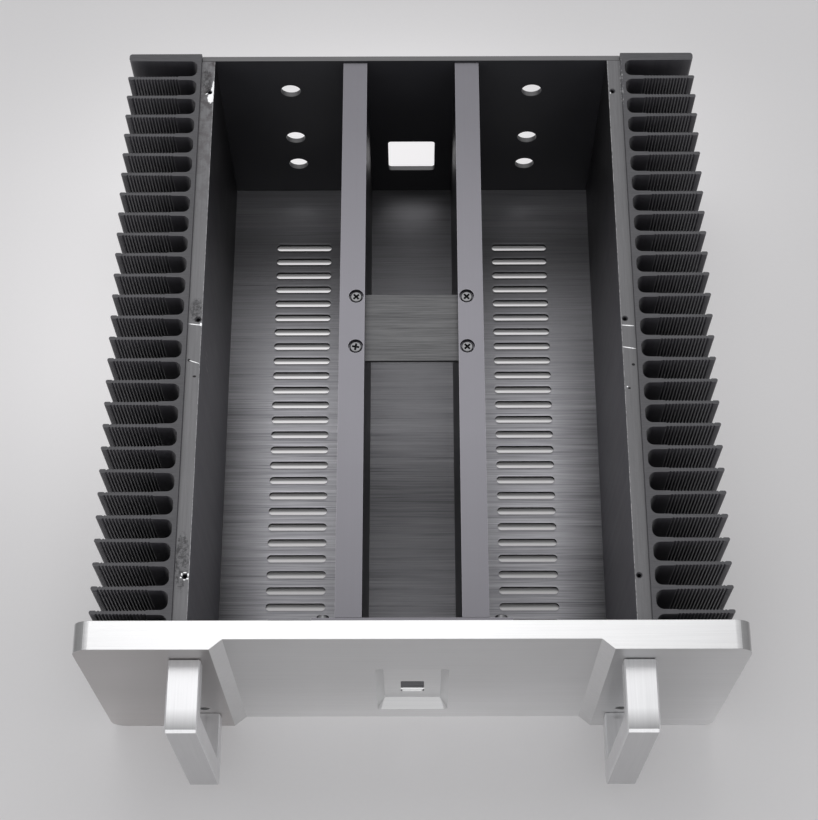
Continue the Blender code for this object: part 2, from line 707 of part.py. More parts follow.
rear_screw = sunk_screw(M4_RADIUS, M4_SUNK_RADIUS, REAR_THICKNESS + LONG_BITE)
rail_rear_points = [(side * rail_end_x, rear_outer, rail_end_height) for side in sides]
rail_rear_pieces = [rear] + rails
drive_screws("rail_rear_screw", rear_screw, drive_places((0, 1, 0), rail_rear_points), rail_rear_pieces,
             black_steel)

rear_screw_heights = (REAR_SCREW_MARGIN, CASE_HEIGHT / 2, CASE_HEIGHT - REAR_SCREW_MARGIN)
rear_points = [(side * step_middle_x, rear_outer, z) for side in sides for z in rear_screw_heights]
rear_pieces = [rear] + heatsinks
drive_screws("rear_panel_screw", rear_screw, drive_places((0, 1, 0), rear_points), rear_pieces, black_steel)

for piece, placed in drilled.items():
    cut(piece, holes_mesh("holes_" + piece.name, placed))
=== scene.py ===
import math

import bmesh
import bpy
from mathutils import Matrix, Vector


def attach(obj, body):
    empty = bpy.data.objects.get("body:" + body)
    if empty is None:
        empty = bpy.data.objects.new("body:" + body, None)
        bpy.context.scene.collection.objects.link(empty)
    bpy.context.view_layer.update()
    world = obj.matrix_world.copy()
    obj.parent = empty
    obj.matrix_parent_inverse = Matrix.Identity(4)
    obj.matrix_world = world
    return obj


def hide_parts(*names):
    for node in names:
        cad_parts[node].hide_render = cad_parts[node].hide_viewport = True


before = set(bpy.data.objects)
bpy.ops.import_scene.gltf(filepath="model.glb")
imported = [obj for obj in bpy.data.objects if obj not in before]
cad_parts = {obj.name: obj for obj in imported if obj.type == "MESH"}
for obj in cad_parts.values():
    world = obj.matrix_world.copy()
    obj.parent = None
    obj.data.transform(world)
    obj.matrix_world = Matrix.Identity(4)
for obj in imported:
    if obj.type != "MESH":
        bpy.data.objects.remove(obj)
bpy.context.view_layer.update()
bpy.ops.object.select_all(action="DESELECT")
scene = bpy.context.scene
scene.view_settings.view_transform = "Standard"

# The camera stands in front of the chassis and high above it, as the photograph was taken: its place in
# metres, its tilt from straight down, and a long lens.
camera_data = bpy.data.cameras.new("camera")
camera_data.sensor_width = 36.0
camera_data.lens = 80.877
camera = bpy.data.objects.new("camera", camera_data)
camera.rotation_mode = "ZYX"
camera.rotation_euler = (0.42495, 0.00272, -0.00235)
camera.location = (0.001666, -0.565095, 1.360325)
scene.collection.objects.link(camera)
scene.camera = camera

# The chassis stands on a plain pale sheet of card, matt and faintly uneven, which keeps its shadow. Two
# soft pools of painted light, a glow in the card seen only by camera, glossy and transmission rays, brighten
# what shows of it around the chassis and through the vent slots.
VENT_REAR = 0.1992
VENT_PITCH = 0.0132


def add_node(kind, inputs, tree=None, **settings):
    """A shader node beside those that feed it: each input is a value or the socket it comes from."""
    if tree is None:
        tree = next(value.id_data for value in inputs.values() if isinstance(value, bpy.types.NodeSocket))
    node = tree.nodes.new("ShaderNode" + kind)
    for name, value in settings.items():
        setattr(node, name, value)
    for name, value in inputs.items():
        if isinstance(value, bpy.types.NodeSocket):
            tree.links.new(value, node.inputs[name])
        else:
            node.inputs[name].default_value = value
    return node


def reckon(operation, *values):
    """One step of arithmetic on numbers or the sockets that carry them."""
    return add_node("Math", dict(enumerate(values)), operation=operation).outputs[0]


def times(product, *factors):
    """Numbers or sockets multiplied, from the first to the last."""
    for factor in factors:
        product = reckon("MULTIPLY", product, factor)
    return product


def vector_step(operation, *values):
    """One step of arithmetic on vectors or the sockets that carry them."""
    return add_node("VectorMath", dict(enumerate(values)), operation=operation).outputs[0]


def scaled(colour, factor):
    """A colour or a vector times a number."""
    return add_node("VectorMath", {0: colour, "Scale": factor}, operation="SCALE").outputs[0]


def split_up(vector):
    """The three parts of a vector."""
    return add_node("SeparateXYZ", {0: vector}).outputs


def remap(value, low, high, to_low=0.0, to_high=1.0, **settings):
    """A number that goes from to_low to to_high while the value goes from low to high, and stays there."""
    inputs = {"Value": value, "From Min": low, "From Max": high, "To Min": to_low, "To Max": to_high}
    return add_node("MapRange", inputs, **settings).outputs["Result"]


def mix_number(mask, base, top):
    """Change from one number to another where a mask says: each number is a socket or a value."""
    return add_node("Mix", {"Factor": mask, "A": base, "B": top}).outputs["Result"]


def ramp(value, stops):
    """A colour that passes through the stops, each a place and a colour."""
    node = add_node("ValToRGB", {"Fac": value})
    elements = node.color_ramp.elements
    for number, (place, colour) in enumerate((stops[0], stops[-1])):
        elements[number].position = place
        elements[number].color = (*colour, 1.0)
    for place, colour in stops[1:-1]:
        elements.new(place).color = (*colour, 1.0)
    return node.outputs["Color"]


def shade_to_colour(shade, dark, light, low=0.3, high=0.7):
    """Turn a shade around a half into a colour between dark and light."""
    return ramp(shade, [(low, dark), (high, light)])


def shade_to_range(shade, low, high):
    """Turn a shade around a half into a number between low and high, such as a roughness."""
    return remap(shade, 0.3, 0.7, low, high)


def noise(place, scale, detail, roughness=0.5):
    """A cloudy texture around a half."""
    inputs = {"Vector": place, "Scale": scale, "Detail": detail, "Roughness": roughness}
    return add_node("TexNoise", inputs).outputs["Fac"]


def new_group(name, inputs, outputs):
    """A shader node group with its sockets, each a name and a kind, and the sockets at both its ends."""
    group = bpy.data.node_groups.new(name, "ShaderNodeTree")
    for way, sockets in (("INPUT", inputs), ("OUTPUT", outputs)):
        for title, kind in sockets.items():
            group.interface.new_socket(name=title, in_out=way, socket_type="NodeSocket" + kind)
    start = group.nodes.new("NodeGroupInput")
    end = group.nodes.new("NodeGroupOutput")
    return group, start.outputs, end.inputs


def close_group(group, end, mask, first, second, relief, depth, height):
    """End a group with a mix of two textures as its shade, and one texture's relief as its normal."""
    group.links.new(mix_number(mask, first, second), end["Shade"])
    bump = add_node("Bump", {"Strength": depth, "Distance": height, "Height": relief})
    group.links.new(bump.outputs["Normal"], end["Normal"])
    return group


def grain_group():
    """Brushed or drawn grain: fine hairlines and broader streaks along one axis, as a shade and a normal."""
    inputs = {"Place": "Vector", "Stretch": "Vector", "Streaks": "Float", "Depth": "Float"}
    group, start, end = new_group("brushed_grain", inputs, {"Shade": "Float", "Normal": "Vector"})
    stretched = vector_step("MULTIPLY", start["Place"], start["Stretch"])
    fine = noise(stretched, 1.0, 3.0, 0.6)
    broad = noise(scaled(stretched, 0.28), 1.0, 2.0)
    return close_group(group, end, start["Streaks"], fine, broad, fine, start["Depth"], 0.0003)


def film_group():
    """An anodised film or matt surface: soft clouds and a fine speckle, as a shade and a normal."""
    inputs = {"Place": "Vector", "Cloud Size": "Float", "Speckle Size": "Float", "Speckle": "Float",
              "Depth": "Float"}
    group, start, end = new_group("matt_film", inputs, {"Shade": "Float", "Normal": "Vector"})
    cloud = noise(start["Place"], start["Cloud Size"], 3.0, 0.55)
    speckle = noise(start["Place"], start["Speckle Size"], 2.0, 0.6)
    return close_group(group, end, start["Speckle"], cloud, speckle, speckle, start["Depth"], 0.0002)


grain = grain_group()
film = film_group()


def brushed(place, stretch, streaks, depth):
    """Put the grain into a material: it gives the shade and the normal."""
    inputs = {"Place": place, "Stretch": stretch, "Streaks": streaks, "Depth": depth}
    return add_node("Group", inputs, node_tree=grain).outputs


def filmed(place, cloud_size, speckle_size, speckle, depth):
    """Put the film into a material: it gives the shade and the normal."""
    inputs = {"Place": place, "Cloud Size": cloud_size, "Speckle Size": speckle_size, "Speckle": speckle,
              "Depth": depth}
    return add_node("Group", inputs, node_tree=film).outputs


def new_finish(name, roughness, metallic, specular=0.5):
    """A material with its shader and its Object coordinates."""
    material = bpy.data.materials.new(name)
    material.use_nodes = True
    shader = material.node_tree.nodes["Principled BSDF"]
    shader.inputs["Roughness"].default_value = roughness
    shader.inputs["Metallic"].default_value = metallic
    shader.inputs["Specular IOR Level"].default_value = specular
    return material, shader, add_node("TexCoord", {}, material.node_tree).outputs["Object"]


def dress(shader, **sockets):
    """Feed a shader's inputs, each named in small letters with lines for spaces."""
    for name, socket in sockets.items():
        shader.id_data.links.new(socket, shader.inputs[name.replace("_", " ").title()])


def light_pool(place, middle, reach):
    """A soft pool of light around a middle, which fades over its reach in X and Y, as a mask."""
    part = vector_step("DIVIDE", vector_step("SUBTRACT", place, middle), reach)
    square = add_node("VectorMath", {0: part, 1: part}, operation="DOT_PRODUCT").outputs["Value"]
    return reckon("EXPONENT", times(square, -1.0))


def along_vents(y):
    """How far a place lies from one vent slot to the next, from 0 to 1: a slot's middle is at a half."""
    row = remap(y, VENT_REAR - VENT_PITCH / 2, VENT_REAR + VENT_PITCH / 2, clamp=False)
    return reckon("FRACT", row)


bpy.ops.mesh.primitive_plane_add(size=12.0, location=(0.0, 0.0, 0.0))
floor = bpy.context.active_object
floor.name = "floor"
card, shader, place = new_finish("card", 0.9, 0.0, 0.2)
shade, normal = filmed(place, 1.5, 300.0, 0.15, 0.02)
colour = shade_to_colour(shade, (0.655, 0.648, 0.652), (0.70, 0.692, 0.696))
rays = add_node("LightPath", {}, place.id_data).outputs
seen = reckon("ADD", rays["Is Camera Ray"], rays["Is Glossy Ray"])
seen = add_node("Math", {0: seen, 1: rays["Is Transmission Ray"]}, operation="ADD", use_clamp=True)
main_pool = light_pool(place, (-0.05, 0.12, 0.0), (0.285, 0.235, 1.0))
rear_pool = times(light_pool(place, (0.0, 0.325, 0.0), (0.20, 0.080, 1.0)), 0.27)
pools = reckon("ADD", main_pool, rear_pool)
x, y, z = split_up(place)
under_vents = times(remap(y, 0.215, 0.205), remap(y, -0.165, -0.155),
                    remap(reckon("ABSOLUTE", x), 0.19, 0.13))
# Under the bottom plate the painted glow comes in bands: painted light, with painted shadow under each slot's
# rear edge.
painted_slot_light = remap(along_vents(y), 0.59, 0.475, 0.06, 1.14)
painted_glow = times(pools, seen.outputs[0], mix_number(under_vents, 1.0, painted_slot_light))
dress(shader, base_color=colour, normal=normal, emission_color=scaled((0.60, 0.59, 0.595), painted_glow))
shader.inputs["Emission Strength"].default_value = 1.0
floor.data.materials.append(card)

# A wide softbox hangs above and behind, so that level faces mirror it, and a second one stands low in
# front for the bevels. The room around them is a plain pale grey.
world = bpy.data.worlds.new("studio")
scene.world = world
world.use_nodes = True
world.node_tree.nodes["Background"].inputs["Color"].default_value = (0.80, 0.80, 0.81, 1.0)
world.node_tree.nodes["Background"].inputs["Strength"].default_value = 0.86


def softbox(name, place, aim, width, height, power):
    """A rectangular area lamp that faces a point."""
    lamp_data = bpy.data.lights.new(name, "AREA")
    lamp_data.shape = "RECTANGLE"
    lamp_data.size = width
    lamp_data.size_y = height
    lamp_data.energy = power
    lamp = bpy.data.objects.new(name, lamp_data)
    lamp.location = place
    facing = Vector(aim) - Vector(place)
    lamp.rotation_euler = facing.to_track_quat("-Z", "Y").to_euler()
    scene.collection.objects.link(lamp)


softbox("overhead_softbox", (-0.10, 0.83, 1.90), (0.0, 0.05, 0.0), 1.3, 1.1, 6.8)
softbox("front_softbox", (0.0, -2.10, 0.95), (0.0, 0.0, 0.15), 2.2, 0.6, 4.9)

# Two heatsinks are the side walls: black anodised aluminium, extruded upright as a flat base with ribbed
# fins, then sawn to height. The base's inner edge is milled down where a cover, the rear panel and the
# bottom plate lie, and tapped for their screws. The fins are what takes most skill, so they come first.
WALL_X = 0.149
ROOT_X = 0.162
TIP_X = 0.214
SINK_FRONT = -0.1897
CASE_REAR = 0.260
CASE_TOP = 0.195
FIN_PITCH = 0.0169
FIRST_FIN = -0.18435
FIN_COUNT = 26
FIN_ROOT_HALF = 0.00165
FIN_TIP_HALF = 0.00135
ROOT_ROUND = 0.005
TIP_ROUND = 0.00115
RIB_START = 0.0138
RIB_PITCH = 0.00229
RIB_COUNT = 15
RIB_DEPTH = 0.00060
RIB_STEPS = 6
END_FIN_FRONT = 0.2534
END_FIN_TAPER = 0.0003
END_FIN_ROUND = 0.0022
STEP_X = 0.159
COVER_STEP = 0.192
PLATE_STEP = 0.0033
REAR_STEP = 0.2552
HOLE = 0.0023
SMALL_HOLE = 0.0018
HOLE_DEPTH = 0.0110
SMALL_HOLE_DEPTH = 0.0107
COVER_HOLE = 0.00145
COVER_HOLE_MOUTH = 0.0020
COVER_HOLE_DEPTH = 0.010
SCREW_X = 0.152
EDGE_SCREW_X = 0.154
COVER_HOLE_ROWS = (-0.158, 0.03475, 0.2275)
PANEL_SCREW_HEIGHTS = (0.048, 0.147)
REAR_SCREW_HEIGHTS = (0.022, 0.0975, 0.173)
SIDES = (-1, 1)
CUT_PAST = 0.003
DRILL_PROUD = 0.002


def choose(piece):
    """Select a piece and nothing else."""
    bpy.ops.object.select_all(action="DESELECT")
    piece.select_set(True)
    bpy.context.view_layer.objects.active = piece


def settle():
    """Put the new piece's place, turn and size into its mesh."""
    bpy.ops.object.transform_apply(location=True, rotation=True, scale=True)
    return bpy.context.active_object


def start_box(name, low, high):
    """A cube primitive that fills the box from low to high, with its place in its mesh."""
    bpy.ops.object.select_all(action="DESELECT")
    bpy.ops.mesh.primitive_cube_add(size=1.0, location=[(a + b) / 2 for a, b in zip(low, high)])
    bpy.context.active_object.name = name
    bpy.context.active_object.scale = [b - a for a, b in zip(low, high)]
    return settle()


def start_sheet(name, low, high):
    """A flat plane primitive on the ground from low to high, two points in X and Y."""
    bpy.ops.object.select_all(action="DESELECT")
    bpy.ops.mesh.primitive_plane_add(size=1.0, location=((low[0] + high[0]) / 2, (low[1] + high[1]) / 2, 0.0))
    bpy.context.active_object.name = name
    bpy.context.active_object.scale = (high[0] - low[0], high[1] - low[1], 1.0)
    return settle()


def edit(piece):
    """Open a piece, and nothing else, in edit mode."""
    choose(piece)
    bpy.ops.object.mode_set(mode="EDIT")


def leave():
    bpy.ops.object.mode_set(mode="OBJECT")


def pick(kind, test):
    """Select vertices, edges or faces: a test is given each one's middle, and its normal or direction."""
    bpy.ops.mesh.select_mode(type=kind)
    bpy.ops.mesh.select_all(action="DESELECT")
    mesh = bpy.context.edit_object.data
    shape = bmesh.from_edit_mesh(mesh)
    if kind == "VERT":
        for vert in shape.verts:
            vert.select_set(test(vert.co, vert.normal))
    elif kind == "EDGE":
        for edge in shape.edges:
            first, last = edge.verts[0].co, edge.verts[1].co
            run = last - first
            edge.select_set(test((first + last) / 2, run.normalized()))
    else:
        for face in shape.faces:
            face.select_set(test(face.calc_center_median(), face.normal))
    shape.select_flush_mode()
    bmesh.update_edit_mesh(mesh)


def push(x=0.0, y=0.0, z=0.0):
    """Extrude what is selected and move it."""
    bpy.ops.mesh.extrude_region_move(TRANSFORM_OT_translate={"value": (x, y, z)})


def shift(x=0.0, y=0.0, z=0.0):
    bpy.ops.transform.translate(value=(x, y, z))


def stretch(factors, centre):
    bpy.ops.transform.resize(value=factors, center_override=centre)


def same(a, b, room=0.00002):
    return abs(a - b) < room


def slice_at(point, normal, **settings):
    """Cut new edges through the whole mesh in edit mode, along a plane."""
    bpy.ops.mesh.select_all(action="SELECT")
    bpy.ops.mesh.bisect(plane_co=point, plane_no=normal, **settings)


def close_up():
    """Merge doubled vertices and turn all faces outwards, in edit mode."""
    bpy.ops.mesh.select_all(action="SELECT")
    bpy.ops.mesh.remove_doubles(threshold=0.000001)
    bpy.ops.mesh.normals_make_consistent(inside=False)


def join(pieces, name):
    """Join pieces into one object."""
    choose(pieces[0])
    for piece in pieces:
        piece.select_set(True)
    if len(pieces) > 1:
        bpy.ops.object.join()
    pieces[0].name = name
    return pieces[0]


def apply_modifier(piece, kind, **settings):
    """Add a modifier with its settings and apply it."""
    choose(piece)
    modifier = piece.modifiers.new(kind.lower(), kind)
    for name, value in settings.items():
        setattr(modifier, name, value)
    bpy.ops.object.modifier_apply(modifier=modifier.name)


def repeat(piece, count, offset, **settings):
    """Repeat a piece in a row."""
    apply_modifier(piece, "ARRAY", count=count, use_relative_offset=False, use_constant_offset=True,
                   constant_offset_displace=offset, **settings)


def carve(piece, cutters):
    """Cut the cutters, joined as one, out of a piece."""
    tool = join(cutters, "tool")
    apply_modifier(piece, "BOOLEAN", operation="DIFFERENCE", solver="EXACT", object=tool)
    bpy.data.objects.remove(tool, do_unlink=True)


FACINGS = {"+z": (0.0, 0.0, 0.0), "-z": (math.pi, 0.0, 0.0), "-y": (math.pi / 2, 0.0, 0.0),
           "+y": (-math.pi / 2, 0.0, 0.0)}
OUTWARDS = {"+z": Vector((0, 0, 1)), "-z": Vector((0, 0, -1)), "-y": Vector((0, -1, 0)),
            "+y": Vector((0, 1, 0))}


def bore(point, facing, radius, depth, sides=32):
    """The cutter of a plain hole that opens at a point on a face."""
    bpy.ops.object.select_all(action="DESELECT")
    middle = Vector(point) + OUTWARDS[facing] * (DRILL_PROUD - depth) / 2
    bpy.ops.mesh.primitive_cylinder_add(vertices=sides, radius=radius, depth=depth + DRILL_PROUD,
                                        location=middle, rotation=FACINGS[facing])
    return settle()


def cone(point, facing, mouth, bottom, depth, sides):
    """The cutter of a countersink: its radius at the mouth and at the bottom."""
    bpy.ops.object.select_all(action="DESELECT")
    out = OUTWARDS[facing]
    bpy.ops.mesh.primitive_cone_add(vertices=sides, radius1=bottom, radius2=mouth, depth=depth,
                                    location=Vector(point) - out * depth / 2, rotation=FACINGS[facing])
    tool = settle()
    edit(tool)
    pick("FACE", lambda place, normal: normal.dot(out) > 0.99)
    push(*(out * DRILL_PROUD))
    leave()
    return tool


def break_edges(piece, width, segments=2, angle=40.0):
    """Take the sharpness off a piece's edges with a small bevel."""
    apply_modifier(piece, "BEVEL", width=width, segments=segments, limit_method="ANGLE",
                   angle_limit=math.radians(angle), harden_normals=False)


def finish_piece(piece, material, nodes, inner=None, smooth=32.0):
    """Shade a piece smooth by angle, give it its finish, and let it stand for its CAD nodes."""
    choose(piece)
    bpy.ops.object.shade_smooth_by_angle(angle=math.radians(smooth))
    apply_modifier(piece, "WEIGHTED_NORMAL", weight=100, keep_sharp=True)
    kinds = [face.material_index for face in piece.data.polygons]
    piece.data.materials.clear()
    piece.data.materials.append(material)
    if inner:
        piece.data.materials.append(inner)
        piece.data.polygons.foreach_set("material_index", kinds)
    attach(piece, "root")
    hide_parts(*nodes)


def arc_turns():
    """The angles of the steps of a quarter round."""
    return [math.radians(15 * part) for part in range(1, 7)]


def root_arc(half):
    """The round at a fin's root, down to its half thickness: steps of distance and half thickness."""
    return [(ROOT_ROUND * (1 - math.cos(turn)), half + ROOT_ROUND * (1 - math.sin(turn)))
            for turn in arc_turns()]


def fin_steps():
    """Half thickness of a fin at each distance from its root: round root, ribs, round tip."""
    steps = root_arc(FIN_ROOT_HALF)
    length = TIP_X - ROOT_X
    for part in range(RIB_COUNT * RIB_STEPS + 1):
        out = RIB_START + part * RIB_PITCH / RIB_STEPS
        plain = FIN_ROOT_HALF + (FIN_TIP_HALF - FIN_ROOT_HALF) * out / length
        groove = RIB_DEPTH * (1 - math.cos(2 * math.pi * part / RIB_STEPS)) / 2
        steps.append((out, plain - groove))
    for turn in [0.0] + arc_turns():
        steps.append((length - TIP_ROUND * (1 - math.sin(turn)),
                      FIN_TIP_HALF - TIP_ROUND * (1 - math.cos(turn))))
    return steps


def grow(steps, half, centre):
    """Extrude the selected root edge outwards step by step, scaled in Y about a centre line."""
    reach = 0.0
    for out, wanted in steps:
        push(x=out - reach)
        stretch((1.0, wanted / half, 1.0), (0.0, centre, 0.0))
        reach = out
        half = wanted


ribbed = start_sheet("fins", (WALL_X, FIRST_FIN - FIN_PITCH / 2), (ROOT_X, FIRST_FIN + FIN_PITCH / 2))
edit(ribbed)
pick("EDGE", lambda place, run: same(place.x, ROOT_X))
bpy.ops.mesh.subdivide(number_cuts=2)
pick("VERT", lambda place, normal: same(place.x, ROOT_X) and abs(place.y - FIRST_FIN) < FIN_PITCH / 4)
root_half = FIN_ROOT_HALF + ROOT_ROUND
stretch((1.0, root_half / (FIN_PITCH / 6), 1.0), (0.0, FIRST_FIN, 0.0))
pick("EDGE", lambda place, run: same(place.x, ROOT_X) and same(place.y, FIRST_FIN))
grow(fin_steps(), root_half, FIRST_FIN)
leave()
repeat(ribbed, FIN_COUNT, (0.0, FIN_PITCH, 0.0), use_merge_vertices=True, merge_threshold=0.00001)

end_front = FIRST_FIN + FIN_PITCH * (FIN_COUNT - 0.5)
end_middle = (end_front + CASE_REAR) / 2
end_thick = CASE_REAR - END_FIN_FRONT
end_root = END_FIN_FRONT - ROOT_ROUND
end_fin = start_sheet("end_fin", (WALL_X, end_front), (ROOT_X, CASE_REAR))
edit(end_fin)
pick("EDGE", lambda place, run: same(place.x, ROOT_X))
bpy.ops.mesh.subdivide(number_cuts=1)
pick("VERT", lambda place, normal: same(place.x, ROOT_X) and same(place.y, end_middle))
shift(y=end_root - end_middle)
pick("EDGE", lambda place, run: same(place.x, ROOT_X) and place.y > end_root + 0.001)
side_steps = root_arc(end_thick) + [(TIP_X - ROOT_X - END_FIN_ROUND, end_thick - END_FIN_TAPER)]
grow(side_steps, end_thick + ROOT_ROUND, CASE_REAR)
end_half = (end_thick - END_FIN_TAPER) / 2
grow([(END_FIN_ROUND * math.sin(turn), end_half - END_FIN_ROUND * (1 - math.cos(turn)))
      for turn in arc_turns()], end_half, CASE_REAR - end_half)
leave()

right_sink = join([ribbed, end_fin], "right_heatsink_detail")
edit(right_sink)
bpy.ops.mesh.select_all(action="SELECT")
bpy.ops.mesh.remove_doubles(threshold=0.00001)
slice_at((0, SINK_FRONT, 0), (0, 1, 0), clear_inner=True)
bpy.ops.mesh.select_all(action="SELECT")
push(z=CASE_TOP)
close_up()
leave()
low_corner = (WALL_X - CUT_PAST, SINK_FRONT - CUT_PAST, -CUT_PAST)
high_corner = (STEP_X, CASE_REAR + CUT_PAST, CASE_TOP + CUT_PAST)
for low, high in (((*low_corner[:2], COVER_STEP), high_corner),
                  (low_corner, (*high_corner[:2], PLATE_STEP)),
                  ((low_corner[0], REAR_STEP, low_corner[2]), high_corner)):
    carve(right_sink, [start_box("step", low, high)])
for row in COVER_HOLE_ROWS:
    carve(right_sink, [cone((SCREW_X, row, COVER_STEP), "+z", COVER_HOLE_MOUTH, 0.0014, 0.0006, 24)])
sink_holes = []
for row in COVER_HOLE_ROWS:
    sink_holes.append(bore((SCREW_X, row, COVER_STEP), "+z", COVER_HOLE, COVER_HOLE_DEPTH, 24))
    sink_holes.append(bore((EDGE_SCREW_X, row, PLATE_STEP), "-z", SMALL_HOLE, SMALL_HOLE_DEPTH, 12))
for height in REAR_SCREW_HEIGHTS:
    sink_holes.append(bore((EDGE_SCREW_X, REAR_STEP, height), "+y", HOLE, SMALL_HOLE_DEPTH, 12))
for height in PANEL_SCREW_HEIGHTS:
    sink_holes.append(bore((SCREW_X, SINK_FRONT, height), "-y", HOLE, HOLE_DEPTH, 12))
carve(right_sink, sink_holes)
edit(right_sink)
pick("EDGE", lambda place, run: abs(run.y) > 0.99 and (
    same(place.x, WALL_X) and same(place.z, COVER_STEP) or same(place.x, STEP_X) and same(place.z, CASE_TOP)))
bpy.ops.mesh.bevel(offset=0.0003, segments=2, affect="EDGES")
leave()


def copy_piece(piece, name):
    """A separate copy of a piece, chosen."""
    choose(piece)
    bpy.ops.object.duplicate(linked=False)
    bpy.context.active_object.name = name
    return bpy.context.active_object


left_sink = copy_piece(right_sink, "left_heatsink_detail")
left_sink.scale = (-1.0, 1.0, 1.0)
settle()
edit(left_sink)
close_up()
leave()


def spot_group():
    """One worn spot or scratch: an oval with ragged edges around a centre, as a mask."""
    inputs = {"Place": "Vector", "Centre": "Vector", "Size": "Vector", "Ragged": "Float", "Lean": "Float"}
    group, start, end = new_group("worn_spot", inputs, {"Mask": "Float"})
    x, y, z = split_up(vector_step("SUBTRACT", start["Place"], start["Centre"]))
    level = reckon("SUBTRACT", y, times(x, start["Lean"]))
    leant = add_node("CombineXYZ", {"X": x, "Y": level, "Z": z}).outputs[0]
    part = vector_step("DIVIDE", leant, start["Size"])
    far = add_node("VectorMath", {0: part}, operation="LENGTH").outputs["Value"]
    even = reckon("SUBTRACT", noise(start["Place"], 900.0, 2.0), 0.5)
    edge = reckon("ADD", far, times(even, start["Ragged"]))
    group.links.new(remap(edge, 0.85, 1.1, 1.0, 0.0), end["Mask"])
    return group


spot = spot_group()


def worn_spot(place, centre, size, ragged, lean=0.0):
    """The mask of one worn spot."""
    inputs = {"Place": place, "Centre": centre, "Size": size, "Ragged": ragged, "Lean": lean}
    return add_node("Group", inputs, node_tree=spot).outputs["Mask"]


def worn_mask(place, spots):
    """The masks of worn spots on the ledges, together: x, y, width, length, raggedness and maybe a lean."""
    total = None
    for x, y, width, length, *look in spots:
        mask = worn_spot(place, (x, y, COVER_STEP), (width, length, 0.004), *look)
        total = mask if total is None else reckon("MAXIMUM", total, mask)
    return total


def mix_colour(mask, base, top, **settings):
    """Lay one colour over another where a mask says: each colour is a socket or three numbers."""
    pair = [(*colour, 1.0) if isinstance(colour, tuple) else colour for colour in (base, top)]
    inputs = {"Factor": mask, 6: pair[0], 7: pair[1]}
    return add_node("Mix", inputs, data_type="RGBA", **settings).outputs[2]


def turned(place, kind="True Normal"):
    """The parts of the direction that a face looks in at a place."""
    return split_up(add_node("NewGeometry", {}, place.id_data).outputs[kind])


def upward_mask(place):
    """A mask of the faces that look up."""
    return remap(turned(place, "Normal")["Z"], 0.6, 0.9)


anodised, shader, place = new_finish("black_anodised", 0.42, 0.0, 0.5)
film_shade = filmed(place, 45.0, 1500.0, 0.45, 0.12)["Shade"]
die_shade, die_normal = brushed(place, (600.0, 600.0, 9.0), 0.6, 0.30)
skin = times(reckon("ADD", film_shade, die_shade), 0.5)
dark = shade_to_colour(skin, (0.034, 0.0325, 0.039), (0.062, 0.060, 0.068), 0.35, 0.65)
sawn = brushed(place, (180.0, 3500.0, 400.0), 0.35, 0.15)["Shade"]
sawn = shade_to_colour(sawn, (0.038, 0.037, 0.042), (0.088, 0.087, 0.094))

# Painted light and shade on the inner walls: lighter overall, near the front and low down, and darkest at the
# rear.
upward = upward_mask(place)
x, y, z = split_up(place)
across = reckon("ABSOLUTE", x)
painted_inner_wall_light = remap(across, WALL_X + 0.0004, WALL_X + 0.0001, 1.0, 1.9)
painted_wall_light = times(remap(y, 0.02, 0.18, 1.0, 0.15), painted_inner_wall_light, remap(z, 0.17, 0.0, 1.0, 2.4))
painted_wall_light = mix_number(remap(painted_inner_wall_light, 1.0, 1.2), 1.0, painted_wall_light)
colour = mix_colour(upward, scaled(dark, painted_wall_light), sawn)

# The milled ledges are paler than the sawn top, the right one is a little darker than the left, and the left
# one has brown clouds toward its rear.
on_ledge = times(remap(across, STEP_X, STEP_X - 0.0004),
                 remap(z, COVER_STEP - 0.0006, COVER_STEP - 0.0002), upward)
milled = brushed(place, (2600.0, 90.0, 400.0), 0.6, 0.1)["Shade"]
milled = shade_to_colour(milled, (0.125, 0.124, 0.130), (0.178, 0.176, 0.184))
stained = times(remap(noise(place, 150.0, 4.0, 0.65), 0.44, 0.62),
                remap(x, 0.0, -0.01), remap(y, 0.10, 0.22))
milled = mix_colour(stained, milled, (0.062, 0.054, 0.058))
milled = scaled(milled, remap(x, -0.01, 0.01, 1.0, 0.86))
# Dark spots on the ledges: dark pits, painted shadows beside dents, and painted shade in the mouths of the
# six tapped holes. The blotched spots are rough dark patches near the left holes.
pits_and_shaded_spots = [(-0.1570, 0.0026, 0.0009, 0.0011, 0.4), (-0.1525, -0.0101, 0.0013, 0.0008, 0.4),
              (0.1561, -0.0016, 0.0012, 0.0010, 0.4), (0.1524, -0.0200, 0.0010, 0.0007, 0.4),
              (-0.1520, 0.2275, 0.0028, 0.0028, 0.8), (-0.1520, 0.03475, 0.0026, 0.0024, 0.6),
              (-0.1520, -0.1580, 0.0024, 0.0022, 0.6), (0.1520, 0.2275, 0.0022, 0.0022, 0.2),
              (0.1520, 0.03475, 0.0022, 0.0022, 0.2), (0.1520, -0.1580, 0.0022, 0.0022, 0.2)]
blotched_spots = [(-0.1535, 0.0425, 0.0050, 0.0090, 0.6), (-0.1545, 0.238, 0.0036, 0.0110, 0.8),
                  (-0.1545, -0.1480, 0.0048, 0.0200, 0.8)]
marks_and_shade_mask = worn_mask(place, pits_and_shaded_spots)
blotch = noise(place, 420.0, 4.0, 0.7)
blotched = times(worn_mask(place, blotched_spots), remap(blotch, 0.42, 0.58), 0.62)
marks_and_shade_mask = reckon("MAXIMUM", blotched, marks_and_shade_mask)
milled = mix_colour(marks_and_shade_mask, milled, (0.012, 0.011, 0.012))
# A painted highlight along each ledge's inner edge, broken up like worn anodising.
ledge_edge_highlight = times(remap(across, WALL_X + 0.0005, WALL_X + 0.0002), remap(blotch, 0.38, 0.60, 0.0, 0.8))
milled = mix_colour(ledge_edge_highlight, milled, (0.62, 0.62, 0.63))
colour = mix_colour(on_ledge, colour, milled)

